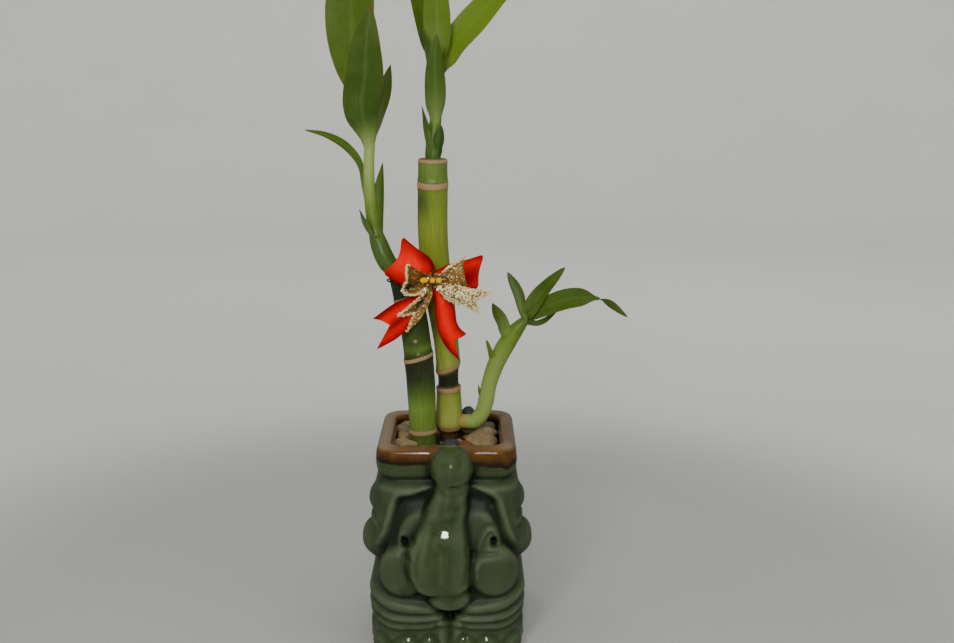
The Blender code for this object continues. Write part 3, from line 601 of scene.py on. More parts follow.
@dataclass(frozen=True)
class Grit:
    """Dark damp grit between the pebbles."""

    dark: Colour = paint(14, 12, 8)
    light: Colour = paint(48, 38, 26)

    def build(self) -> Material:
        """Makes the material.

        Returns:
            The material.
        """
        made, graph = new_finish("dark_grit", IOR=1.45)
        grains = graph.mottle(900, 0.4, 0.65)
        rough = graph.fit(grains, 0, 1, 0.35, 0.75)
        normal = graph.bump(graph.grain(900), 0.8, 0.0008)
        graph.dress(Base_Color=graph.mix(grains, self.dark, self.light), Roughness=rough, Normal=normal)
        return made


@dataclass(frozen=True)
class CaneSkin:
    """Waxy green skin whose tone changes up the cane, with painted shade down one side, corky scars and cut ends."""

    name: str
    tones: tuple[tuple[float, Colour], ...]
    lee: Colour
    scar: Colour = paint(162, 138, 96)
    scar_edge: Colour = paint(88, 56, 26)
    pith: Colour = paint(160, 138, 92)

    def build(self) -> Material:
        """Makes the material.

        Returns:
            The material.
        """
        made, graph = new_finish(self.name, IOR=1.45, Subsurface_Weight=0.06, Subsurface_Scale=0.0015)
        fine = graph.streaks(3200, 30)
        skin = graph.layers(
            graph.ramp(graph.mark("along"), self.tones),
            # Painted shade down one side of the cane.
            (graph.times(graph.mark("lee"), 0.9), self.lee),
            (graph.times(graph.streaks(900, 14), 0.22), self.lee),
            (graph.times(fine, 0.06), self.scar),
            (graph.mark("spot"), self.scar),
        )
        fray = graph.noise(graph.place(), 700, 4, 0.7)
        frayed = graph.times(fray, 0.5, graph.mark("scar"))
        scar, edge, cut = graph.fit(frayed, 0.62, 0.86), graph.fit(frayed, 0.8, 1.1), graph.mark("cut")
        cork = graph.layers(self.scar_edge, (edge, self.scar), (graph.times(fray, 0.6), self.scar_edge))
        wood = graph.mix(fray, self.pith, self.scar_edge)
        matt = graph.maths("MAXIMUM", scar, cut)
        height = graph.times(graph.times(matt, fray), 3, fine)
        graph.dress(
            Base_Color=graph.layers(skin, (scar, cork), (cut, wood)),
            Roughness=graph.fit(matt, 0, 1, 0.27, 0.72),
            Normal=graph.bump(height, 0.5, 0.00012),
        )
        return made


@dataclass(frozen=True)
class LeafSkin:
    """Satin-smooth leaf: pale sheath, green blade with veins, a light midrib and a dry tip."""

    dark: Colour = paint(38, 66, 12)
    bright: Colour = paint(90, 114, 22)
    pale: Colour = paint(140, 160, 84)
    dry: Colour = paint(92, 72, 40)
    rust: Colour = paint(150, 96, 44)

    def build(self) -> Material:
        """Makes the material.

        Returns:
            The material.
        """
        made, graph = new_finish("leaf_skin", IOR=1.45, Subsurface_Weight=0.12, Subsurface_Scale=0.001)
        across = graph.mark("across")
        patches = graph.mottle(110, 0.3, 0.7)
        veins = graph.effect(vein_group(), across=across, count=13)
        streaks = graph.streaks(1500, 16)
        blade = graph.layers(
            self.dark,
            (graph.times(patches, 0.18, graph.mark("tone"), clamp=True), self.bright),
            (graph.mark("pale"), self.pale),
            (graph.times(veins, 0.035), self.pale),
            (graph.times(graph.fit(graph.maths("ABSOLUTE", across), 0.16, 0), 0.08), self.pale),
            (graph.times(streaks, 0.14), self.dark),
            (graph.mark("rust"), self.rust),
            (graph.times(graph.fit(graph.mark("along"), 0.955, 1), graph.mark("tipped")), self.dry),
        )
        rough = graph.fit(patches, 0, 1, 0.3, 0.42)
        normal = graph.bump(graph.maths("ADD", veins, streaks), 0.2, 0.0001)
        graph.dress(Base_Color=blade, Roughness=rough, Normal=normal)
        return made


@dataclass(frozen=True)
class RedSatin:
    """Red satin: a tinted sheen over fine threads that run along the ribbon, with painted shade towards the edges and
    at the dim places.
    """

    deep: Colour = paint(226, 10, 7)
    bright: Colour = paint(255, 26, 16)
    shade: Colour = paint(100, 3, 2)

    def build(self) -> Material:
        """Makes the material.

        Returns:
            The material.
        """
        made, graph = new_finish("red_satin", Metallic=0.15, IOR=1.5, Sheen_Weight=0.05, Sheen_Roughness=0.35)
        graph.dress(Sheen_Tint=self.bright, Specular_Tint=self.bright)
        across = graph.mark("across")
        threads = graph.maths("SINE", graph.times(across, 170))
        wefts = graph.maths("SINE", graph.times(graph.mark("length"), 9))
        weave = graph.times(graph.times(threads, wefts), 0.5, 0.5)
        wear = graph.mottle(300, 0.3, 0.7)
        worn = graph.times(wear, 0.4, graph.times(weave, 0.3))
        # Painted shade: each strip darkens towards both edges and at its dim places.
        edge = graph.times(graph.maths("POWER", graph.maths("ABSOLUTE", across), 1.7), 0.92)
        dark = graph.maths("MAXIMUM", graph.mark("dim"), edge)
        graph.dress(
            Base_Color=graph.layers(self.bright, (worn, self.deep), (dark, self.shade)),
            Roughness=graph.fit(wear, 0, 1, 0.3, 0.42),
            Normal=graph.bump(weave, 0.4, 0.00006),
        )
        return made


@dataclass(frozen=True)
class GlitterGold:
    """Gold ribbon with glitter: dull bronze cloth with painted shade at its dim places, and flakes that each face their
    own way, a share of them painted pale cream as glints.
    """

    bronze: Colour = paint(134, 94, 22)
    shade: Colour = paint(78, 46, 9)
    shadow_brown: Colour = paint(40, 18, 7)
    spark: Colour = paint(255, 243, 190)
    flakes: float = 2600.0

    def build(self) -> Material:
        """Makes the material.

        Returns:
            The material.
        """
        made, graph = new_finish("glitter_gold", IOR=1.5)
        cells = graph.node("ShaderNodeTexVoronoi", {"Vector": graph.place(), "Scale": self.flakes}).outputs["Color"]
        chance = graph.node("ShaderNodeSeparateColor", {0: cells}).outputs[0]
        crowd = graph.times(graph.mottle(640, 0.42, 0.58), 0.7, 0.12)
        spark = graph.mark("spark")
        # Painted glints: a share of the flakes, crowded into clumps, are coloured pale cream as if catching the light.
        glinting_flakes = graph.fit(graph.times(spark, crowd, chance), 0.9, 1.02)
        colour = graph.layers(
            self.bronze,
            (graph.times(graph.mottle(420, 0.35, 0.65), 0.6), self.shade),
            # Painted shade at the dim places, in dark brown.
            (graph.mark("dim"), self.shadow_brown),
            (glinting_flakes, self.spark),
        )
        lean = graph.times(spark, 0.8, 0.4, clamp=True)
        tilt = graph.vector("SCALE", graph.vector("SUBTRACT", cells, (0.5, 0.5, 0.5)), Scale=lean)
        bent = graph.vector("ADD", graph.node("ShaderNodeNewGeometry").outputs["Normal"], tilt)
        graph.dress(
            Base_Color=colour,
            Metallic=graph.times(glinting_flakes, 0.15, 0.1, clamp=True),
            Roughness=graph.fit(glinting_flakes, 0, 1, 0.42, 0.16),
            Normal=graph.vector("NORMALIZE", bent),
        )
        return made


@dataclass(frozen=True)
class Bullion:
    """Bright gold for the wired edges, the tie and the beads."""

    name: str
    bright: Colour
    deep: Colour
    metallic: float = 1.0
    roughness: float = 0.22

    def build(self) -> Material:
        """Makes the material.

        Returns:
            The material.
        """
        made, graph = new_finish(self.name, Metallic=self.metallic, IOR=1.5)
        tarnish = graph.mottle(500, 0.35, 0.7)
        rough = graph.times(tarnish, 0.14, self.roughness)
        normal = graph.bump(graph.grain(2500), 0.25, 0.00005)
        graph.dress(Base_Color=graph.mix(tarnish, self.bright, self.deep), Roughness=rough, Normal=normal)
        return made


# Geometry trees


def geometry_tree(name: str, **sockets: str) -> tuple[Graph, Any]:
    """Starts a geometry tree with the given inputs and their kinds, besides the geometry and the material."""
    inputs = {"Geometry": "Geometry", **sockets, "Material": "Material"}
    return open_tree(name, "Geometry", inputs, "Geometry", "Geometry")


def named(graph: Graph, name: str, kind: str = "FLOAT") -> Node:
    """A named attribute in a geometry tree."""
    return graph.node("GeometryNodeInputNamedAttribute", {"Name": name}, data_type=kind)


@cache
def stalk_tree() -> NodeTree:
    """Sweeps a round section along a path.

    The path's girth is its radius at each point, and lean tips each section: its height gained for each
    unit along X and along Y.

    Returns:
        The tree, whose input Sides is the count of sides.
    """
    graph, given = geometry_tree("Stalk", Sides="Int")
    curve = graph.node("GeometryNodeMeshToCurve", {0: given["Geometry"]})
    section = graph.node("GeometryNodeCurvePrimitiveCircle", {"Resolution": given["Sides"], "Radius": 1.0})
    swept = {"Curve": curve, "Profile Curve": section, "Scale": named(graph, "girth"), "Fill Caps": True}
    tube = graph.node("GeometryNodeCurveToMesh", swept)
    place = graph.node("GeometryNodeInputPosition")
    off = graph.vector("SUBTRACT", place, named(graph, "middle", "FLOAT_VECTOR"))
    rise = graph.vector("DOT_PRODUCT", off, named(graph, "lean", "FLOAT_VECTOR"))
    offset = graph.node("ShaderNodeCombineXYZ", {2: rise.outputs["Value"]})
    tipped = graph.node("GeometryNodeSetPosition", {"Geometry": tube, "Offset": offset})
    return graph.close_real(tipped, given["Material"])


@cache
def pebble_tree() -> NodeTree:
    """Sets a pebble on each point, sized and turned by the point, and makes each one lumpy.

    Returns:
        The tree, whose input Lump is how far the lumps stand out and Waves how many there are a metre.
    """
    graph, given = geometry_tree("Pebbles", Lump="Float", Waves="Float")
    ball = graph.node("GeometryNodeMeshIcoSphere", {"Radius": 1, "Subdivisions": 4})
    turn = graph.node("FunctionNodeEulerToRotation", {0: named(graph, "turn", "FLOAT_VECTOR")})
    inputs = {
        "Points": given["Geometry"],
        "Instance": ball.outputs["Mesh"],
        "Rotation": turn,
        "Scale": named(graph, "size", "FLOAT_VECTOR"),
    }
    laid = graph.node("GeometryNodeInstanceOnPoints", inputs)
    real = graph.node("GeometryNodeRealizeInstances", {0: laid})
    cloud = graph.noise(graph.node("GeometryNodeInputPosition"), given["Waves"], 2)
    push = graph.times(graph.maths("SUBTRACT", cloud, 0.5), given["Lump"])
    offset = graph.vector("SCALE", graph.node("GeometryNodeInputNormal"), Scale=push)
    lumpy = graph.node("GeometryNodeSetPosition", {"Geometry": real, "Offset": offset})
    return graph.close_real(lumpy, given["Material"])


@cache
def grain_tree() -> NodeTree:
    """Strings small faceted grains along paths.

    Returns:
        The tree, whose inputs are Spacing, Grain, the radius of a grain, and Scatter, how far off the path
        a grain may lie.
    """
    graph, given = geometry_tree("Edge grains", Spacing="Float", Grain="Float", Scatter="Float")
    curve = graph.node("GeometryNodeMeshToCurve", {0: given["Geometry"]})
    spaced = graph.node("GeometryNodeResampleCurve", mode="LENGTH")
    graph.put(curve, spaced.inputs["Curve"])
    graph.put(given["Spacing"], spaced.inputs["Length"])
    vector = graph.node("FunctionNodeRandomValue", {0: (-1, -1, -1), "Seed": 3}, data_type="FLOAT_VECTOR")
    shift = graph.vector("SCALE", vector, Scale=given["Scatter"])
    strewn = graph.node("GeometryNodeSetPosition", {"Geometry": spaced, "Offset": shift})
    grain = graph.node("GeometryNodeMeshIcoSphere", {"Radius": given["Grain"], "Subdivisions": 1})
    turn = graph.node("FunctionNodeRandomValue", {1: (math.tau,) * 3, "Seed": 5}, data_type="FLOAT_VECTOR")
    size = graph.node("FunctionNodeRandomValue", {2: 0.55, 3: 1.25, "Seed": 8}, data_type="FLOAT")
    inputs = {
        "Points": strewn,
        "Instance": grain.outputs["Mesh"],
        "Rotation": graph.node("FunctionNodeEulerToRotation", {0: turn}),
        "Scale": size,
    }
    return graph.close_real(graph.node("GeometryNodeInstanceOnPoints", inputs), given["Material"])


def run_tree(tree: NodeTree, source: Mesh, name: str, **values: Any) -> Mesh:
    """Runs a geometry tree once and keeps what it made as a plain mesh.

    Args:
        tree: The tree.
        source: The mesh that it starts from.
        name: Name of the result.
        values: The values of its named inputs.

    Returns:
        The result.
    """
    carrier = add_object(name + "_source", source)
    modifier = carrier.modifiers.new("Build", "NODES")
    modifier.node_group = tree
    for item in tree.interface.items_tree:
        if item.in_out == "INPUT" and item.name in values:
            modifier[item.identifier] = values[item.name]
    bpy.context.view_layer.update()
    graph = bpy.context.evaluated_depsgraph_get()
    made = bpy.data.meshes.new_from_object(carrier.evaluated_get(graph))
    made.name = name
    carrier.modifiers.remove(modifier)
    bpy.data.objects.remove(carrier, do_unlink=True)
    bpy.data.meshes.remove(source)
    return made


def path_mesh(paths: Sequence[Array], marks: dict[str, Array], closed: bool = False) -> Mesh:
    """Paths as chains of edges, for a geometry tree.

    Args:
        paths: Points of each path, in millimetres.
        marks: Numbers or vectors for all the points, in their final units.
        closed: Each path ends where it starts.

    Returns:
        The mesh.
    """
    edges, start = [], 0
    for path in paths:
        edges += [(start + i, start + i + 1) for i in range(len(path) - 1)]
        if closed:
            edges.append((start + len(path) - 1, start))
        start += len(path)
    mesh = bpy.data.meshes.new("path")
    mesh.from_pydata((np.vstack(paths) * MM).tolist(), edges, [])
    for name, values in marks.items():
        kind, key = ("FLOAT", "value") if values.ndim == 1 else ("FLOAT_VECTOR", "vector")
        mesh.attributes.new(name, kind, "POINT").data.foreach_set(key, values.ravel().astype(np.float32))
    return mesh


def read_shell(mesh: Mesh, marks: Sequence[str]) -> Shell:
    """Reads a mesh back as a closed surface.

    Args:
        mesh: The mesh, which is removed.
        marks: The point attributes to keep.

    Returns:
        The surface.
    """
    points = np.empty(len(mesh.vertices) * 3)
    mesh.vertices.foreach_get("co", points)
    kept = {}
    for name in marks:
        values = np.empty(len(mesh.vertices), np.float32)
        mesh.attributes[name].data.foreach_get("value", values)
        kept[name] = values.astype(float)
    faces = [tuple(face.vertices) for face in mesh.polygons]
    bpy.data.meshes.remove(mesh)
    return Shell(points.reshape(-1, 3) / MM, faces, kept).facing_out()


def sweep(path: Array, girth: Array, sides: int, lean: Array | None = None, **marks: Array) -> Shell:
    """Sweeps a round section along a path.

    Args:
        path: Points up the middle.
        girth: The radius at each.
        sides: How many sides the section has.
        lean: How far each section is tipped, along X and Y.
        marks: Other numbers for each point.

    Returns:
        The closed tube.
    """
    closed = bool(np.allclose(path[0], path[-1]))
    if closed:
        path, girth = path[:-1], girth[:-1]
    tips = np.zeros((len(path), 3))
    if lean is not None:
        tips[:, :2] = lean
    given = {"girth": girth * MM, "middle": path * MM, "lean": tips, **marks}
    mesh = run_tree(stalk_tree(), path_mesh([path], given, closed), "tube", Sides=sides)
    return read_shell(mesh, list(marks))


# Pot relief: u runs round the wall from the middle of the front, and w is how far a place is from that middle


@dataclass(frozen=True)
class Boss:
    """A rounded boss: its middle, radii, height, and how square its sides are."""

    at: Flat
    radii: Flat
    height: float
    power: float


@dataclass(frozen=True)
class Mark:
    """A ridge or a groove along points: its height, below nought for a groove, and its width."""

    points: Sequence[Flat]
    height: float
    width: float


FOREHEADS = (Boss((-13.5, 61), (11.6, 16.8), 2.5, 4), Boss((16.4, 61), (11.2, 17.2), 2.5, 4))
CHEEKS = (Boss((-21, 46), (14, 14.2), 5.2, 2.6), Boss((23.5, 46), (14.2, 14.2), 5.2, 2.6))
LIP = Boss((1.3, 33), (11.8, 8.8), 8.8, 1.6)
# Trunk: height, middle, half width, how far it stands out
TRUNK = (
    (33.4, -0.6, 6, 1), (35.6, -2.2, 12.6, 8.4), (38, -2.9, 15.6, 11), (43, -3.6, 17.6, 12.8), (50, -4, 18, 13.4),
    (56, -3.9, 17.4, 13.4), (61, -3.5, 16, 13.2), (66, -2.6, 14.2, 12.45), (71.5, -1.6, 12.4, 10.2),
    (80, 0.4, 10.8, 9.3), (87, 2.2, 9.3, 9.8), (91, 2.9, 9.1, 9.9), (95.5, 2.5, 9.5, 10.2), (101, 2.4, 9.7, 10.2),
    (105, 2.4, 9, 9.2), (108, 2.4, 7.3, 6.8), (110, 2.4, 5.2, 2.6),
)
TRUNK_POWER = 4.2
EYES = (Mark(((-21.3, 62.5), (-21.3, 60.7)), -4.8, 1.2), Mark(((23.8, 62.3), (24, 60.3)), -4.8, 1.2))
# Ridges and grooves of the face and the trunk
FACE_MARKS = tuple(Mark(*row) for row in (
    (((2.2, 92), (5.8, 92.2)), -1.6, 1), (((-3.2, 90), (-1.8, 89.4)), -0.9, 1.2),
    (((7.4, 89.6), (8.2, 88.6)), -0.7, 1.2), (((2.3, 108), (1.6, 100), (2, 93.6)), 0.6, 1.3),
    (((1, 90), (0.5, 82), (0.2, 78)), 0.4, 1.6), (((-1.6, 103.4), (-0.8, 103.8)), -1.3, 1.8),
    (((5.6, 106), (6, 103)), -1.1, 1.8), (((11.6, 100), (7.6, 95.6), (4.4, 93.6)), 0.7, 1.2),
    (((-8.6, 78), (-10.6, 70), (-13, 62), (-15.4, 54), (-15.4, 47)), -0.6, 1.4),
    (((-22, 55.5), (-22.4, 51), (-20.6, 45), (-15.6, 39.4)), -1, 0.8),
    (((-6.2, 73), (-8, 65), (-9, 55)), -0.9, 2.4), (((5.4, 86), (6, 80), (5.6, 76)), -0.4, 2.6),
    (((9.8, 60), (10.6, 50), (9, 43)), -0.7, 1.4), (((-2.6, 58), (-2.6, 44)), 0.5, 1.8),
    (((1.4, 52), (1.2, 44)), -0.35, 1.2), (((-6.4, 50), (-6, 43)), -0.35, 1.2),
    (((15.2, 49), (15.2, 44)), 1.6, 1.6), (((-21, 81.5), (-11, 83.5)), -1.2, 2.6),
    (((12, 83.5), (22, 81.5)), -1.2, 2.6), (((-16.9, 64), (-16.6, 63)), -1.3, 1.3),
    (((-24.6, 58.4), (-22, 59.4), (-18.8, 58.6), (-16.6, 56)), 0.7, 1),
    (((-20.8, 55.4), (-20, 54.6)), -0.9, 1.6),
    (((14.8, 57.6), (15.6, 61), (16.8, 64.6), (18.4, 67.8), (20.4, 69.6), (22.8, 69.8), (24.6, 68.8)), -1.1, 1.1),
    (((16.4, 57.2), (17.3, 60.5), (18.6, 64), (20.4, 67), (22.6, 67.9), (24.6, 67.2)), 0.8, 0.9),
    (((17.8, 56.4), (18.6, 60), (19.8, 63.4), (21, 65.6), (22.8, 66.2), (24.8, 65.6)), -1, 0.9),
    (((12.4, 55.4), (17, 54.8), (25.3, 55.8)), -1.5, 1.2), (((-5.6, 17.4), (-5.4, 0)), -1, 0.9),
    (((8.4, 17.4), (8.2, 0)), -1, 0.9), (((1.6, 18.4), (1.5, 0)), -1.8, 0.9),
))
HEADDRESS_TOP = 91.8
# Lower edge of the headdress: place round the wall, and height
HEADDRESS_EDGE = (
    (-40, 84), (-27.4, 85.6), (-23.5, 84.9), (-19.5, 84.9), (-15.5, 85.7), (-12, 87.2), (-6, 89.3), (2.5, 90.3),
    (11.8, 89.5), (15.8, 88.2), (19.7, 86.2), (23.2, 84.6), (27.4, 83.6), (40, 83),
)
# The front edge of an ear: height, and how far round the pot it lies from the middle of the face
EAR_EDGE = (
    (48, 41.6), (53, 37.4), (57.5, 34), (62, 31.4), (66, 29.4), (70, 28.2), (75, 26.8), (80, 25.4), (84, 24.4),
)
EAR_LOBES = (
    Boss((50, 57), (15, 12), 9, 1.4), Boss((47, 79.5), (13, 8), 5.8, 1.4), Boss((46, 68.5), (15, 12), 4.6, 1.8),
)
HOOD_HEIGHT = 2.7
HOOD_BEAD = 0.5
HOOD_GROOVE = 1
EAR_BOTTOM = 50
BACK_EAR_SHARE = 0.6
EAR_FOLD_HEIGHTS = (69.5, 63)
TEMPLE = Mark(((22.4, 80), (24.6, 74.5), (26.6, 69), (28.6, 64), (31.4, 59), (34.4, 55.6)), -1.3, 1.6)
# Creases round a leg: how far from the middle of the face, and the heights of four creases there
CREASES = (
    (4, 25.5, 23, 19.4, 15.8), (10, 28.5, 22.4, 18, 14.4), (19, 30.4, 22.4, 17.7, 14), (27, 32.6, 23.8, 18.5, 14.2),
    (34, 35.2, 26.8, 21.2, 16.6), (40, 37.2, 29.2, 24.2, 19.8), (50, 37.5, 29.8, 24.8, 20.6),
    (65, 36, 29.2, 24.4, 20.2),
)
FOLD_HEIGHTS = (3.1, 2.7, 2.3)
FOOT_HEIGHT = 2.2
LEG_TOP = 36
TOES = ((9, 4.6), (20, 5.6), (33.5, 6), (48, 6), (60, 5))
TOE_RISE = 5.4
TOE_GROOVE = 1.7
LEG_GAP_TOP = 27.5
FRONT_GAP_DEPTH = 7.5
SIDE_GAP_DEPTH = 3


def mound(u: Array, z: Array, boss: Boss) -> Array:
    """A boss's height at its middle, nought at its edge, and falling on beyond."""
    q = ((u - boss.at[0]) / boss.radii[0]) ** 2 + ((z - boss.at[1]) / boss.radii[1]) ** 2
    return boss.height * (1 - q**boss.power)


def join_forms(first: Array, second: Array, fillet: float = 1.0) -> Array:
    """The higher of two surfaces, with a small fillet where they meet."""
    near = np.clip(fillet - np.abs(first - second), 0, None) / fillet
    return np.maximum(first, second) + near**2 * fillet / 4


def stroke(u: Array, z: Array, mark: Mark) -> Array:
    """A soft ridge, or a groove, along a line of points.

    Args:
        u: Places round the wall.
        z: Heights.
        mark: The line, its height and its width.

    Returns:
        What it adds to the relief.
    """
    found = np.full(u.shape, np.inf)
    for (u0, z0), (u1, z1) in zip(mark.points[:-1], mark.points[1:]):
        du, dz = u1 - u0, z1 - z0
        t = np.clip(((u - u0) * du + (z - z0) * dz) / (du * du + dz * dz), 0, 1)
        found = np.minimum(found, np.hypot(u - u0 - t * du, z - z0 - t * dz))
    return mark.height * bell(found, 0, mark.width)


def arc(centre: Flat, radii: Flat, start: float, end: float) -> list[Flat]:
    """Points along an elliptical arc, from one angle to another in degrees."""
    angles = np.radians(np.linspace(start, end, 17))
    return [(centre[0] + radii[0] * math.cos(a), centre[1] + radii[1] * math.sin(a)) for a in angles]


def column(at: Array, table: Sequence[Sequence[float]], index: int) -> Array:
    """One column of a table, read at each number in at along the table's first column.

    Args:
        at: Numbers to look up.
        table: Rows that start with such a number, in rising order.
        index: The column that is read.

    Returns:
        What the table says, in the shape of at.
    """
    rows = np.array(table)
    inside = np.clip(at, rows[0, 0], rows[-1, 0])
    return smooth_values(inside.ravel(), rows[:, 0], rows[:, index]).reshape(np.shape(at))


def trunk_relief(u: Array, z: Array) -> Array:
    """The raised trunk, from the nose up the front to its tip at the rim.

    Args:
        u: Places across the face.
        z: Heights.

    Returns:
        The height at each place.
    """
    middle, half, height = (column(z, TRUNK, index) for index in (1, 2, 3))
    raised = height * (1 - np.abs((u - middle) / half) ** TRUNK_POWER)
    return np.where(z < TRUNK[0][0], -FRONT_GAP_DEPTH, raised)


def head_relief(u: Array, z: Array) -> Array:
    """The head over the wall: forehead, cheeks, lip and trunk.

    Args:
        u: Places across the face.
        z: Heights.

    Returns:
        The height at each place.
    """
    found = np.zeros(u.shape)
    for boss in (*FOREHEADS, *CHEEKS, LIP):
        found = join_forms(found, mound(u, z, boss), 1.2)
    return join_forms(found, trunk_relief(u, z))


def hood_relief(u: Array, z: Array) -> Array:
    """The headdress and the ears that go on from it: one edge round the face, lobes and folds behind it.

    Args:
        u: Places across the face.
        z: Heights.

    Returns:
        The height at each place.
    """
    w = np.abs(u)
    above = z - column(u, HEADDRESS_EDGE, 1)
    inside = join_forms(above, w - column(z, EAR_EDGE, 1), 4.0)
    ends = ease(z, EAR_BOTTOM - 2, EAR_BOTTOM + 7) * ease(HEADDRESS_TOP - z, -0.8, 3.6)
    bead = HOOD_BEAD * bell(inside, 1.7, 1.2)
    groove = HOOD_GROOVE * bell(inside, 4.8, 1.6) * ease(z, 58, 66) * (1 - ease(z, 76, 82))
    found = (HOOD_HEIGHT * ease(inside, -1.2, 1.2) + bead - groove) * ends
    for lobe in EAR_LOBES:
        found = join_forms(found, mound(w, z, lobe), 2.0)
    for height in EAR_FOLD_HEIGHTS:
        found = found + stroke(w, z, Mark(arc((47.0, height), (11.0, 5.0), 150, 30), -1.7, 1.6))
    return found


def leg_relief(w: Array, z: Array) -> Array:
    """The folds round a leg, and the foot with its toes.

    Args:
        w: Distances from the middle of the face.
        z: Heights.

    Returns:
        The height at each place.
    """
    creases = [column(w, CREASES, index) for index in (1, 2, 3, 4)]
    found = np.zeros(w.shape)
    for upper, lower, height in zip(creases[:-1], creases[1:], FOLD_HEIGHTS):
        place = (z - (upper + lower) / 2) / ((upper - lower) / 2)
        found = np.maximum(found, height * (1 - np.abs(place) ** 2.4))
    foot = FOOT_HEIGHT * (1 - np.clip(z / creases[-1], 0, 2) ** 7)
    found = np.maximum(found, foot)
    for toe, half in TOES:
        nail = [(toe - half, 0.0), *arc((toe, TOE_RISE), (half, TOE_RISE), 180, 0), (toe + half, 0.0)]
        found = found + stroke(w, z, Mark(nail, -TOE_GROOVE, 1.1))
    return found - 6 * np.clip((z - LEG_TOP) / 4, 0, 1)


def fold_back(u: Array, side_centre: float) -> tuple[Array, Array]:
    """Which places are on the back half, and the matching places on the front half."""
    back = np.abs(u) > side_centre
    return back, np.where(back, np.sign(u) * (2 * side_centre - np.abs(u)), u)


def relief(u: Array, z: Array, side_centre: float) -> Array:
    """Height of the relief over the plain wall.

    Args:
        u: Places round the wall.
        z: Heights.
        side_centre: Where the middle of a side lies.

    Returns:
        The height at each place. The back face repeats the front one.
    """
    back, u = fold_back(u, side_centre)
    w = np.abs(u)
    hood = hood_relief(u, z)
    found = join_forms(head_relief(u, z), np.where(back, BACK_EAR_SHARE * hood, hood))
    found = join_forms(found, leg_relief(w, z))
    for mark in (*FACE_MARKS, *EYES):
        found = found + stroke(u, z, mark)
    for mark in (TEMPLE, Mark(((side_centre, 46.0), (side_centre, 86.0)), -1.6, 2.0)):
        found = found + stroke(w, z, mark)
    below = ease(-z, -LEG_GAP_TOP, 2.5 - LEG_GAP_TOP)
    front_half = 2.6 + 3.6 * ease(z, 18, 26)
    hollow = FRONT_GAP_DEPTH * (0.2 + 0.8 * ease(z, 16.5, 20.0))
    found = found - hollow * below * np.exp(-np.abs((u - 1.4) / front_half) ** 2.4)
    return found - SIDE_GAP_DEPTH * below * bell(w, side_centre, 2.6)


# Sub-assemblies


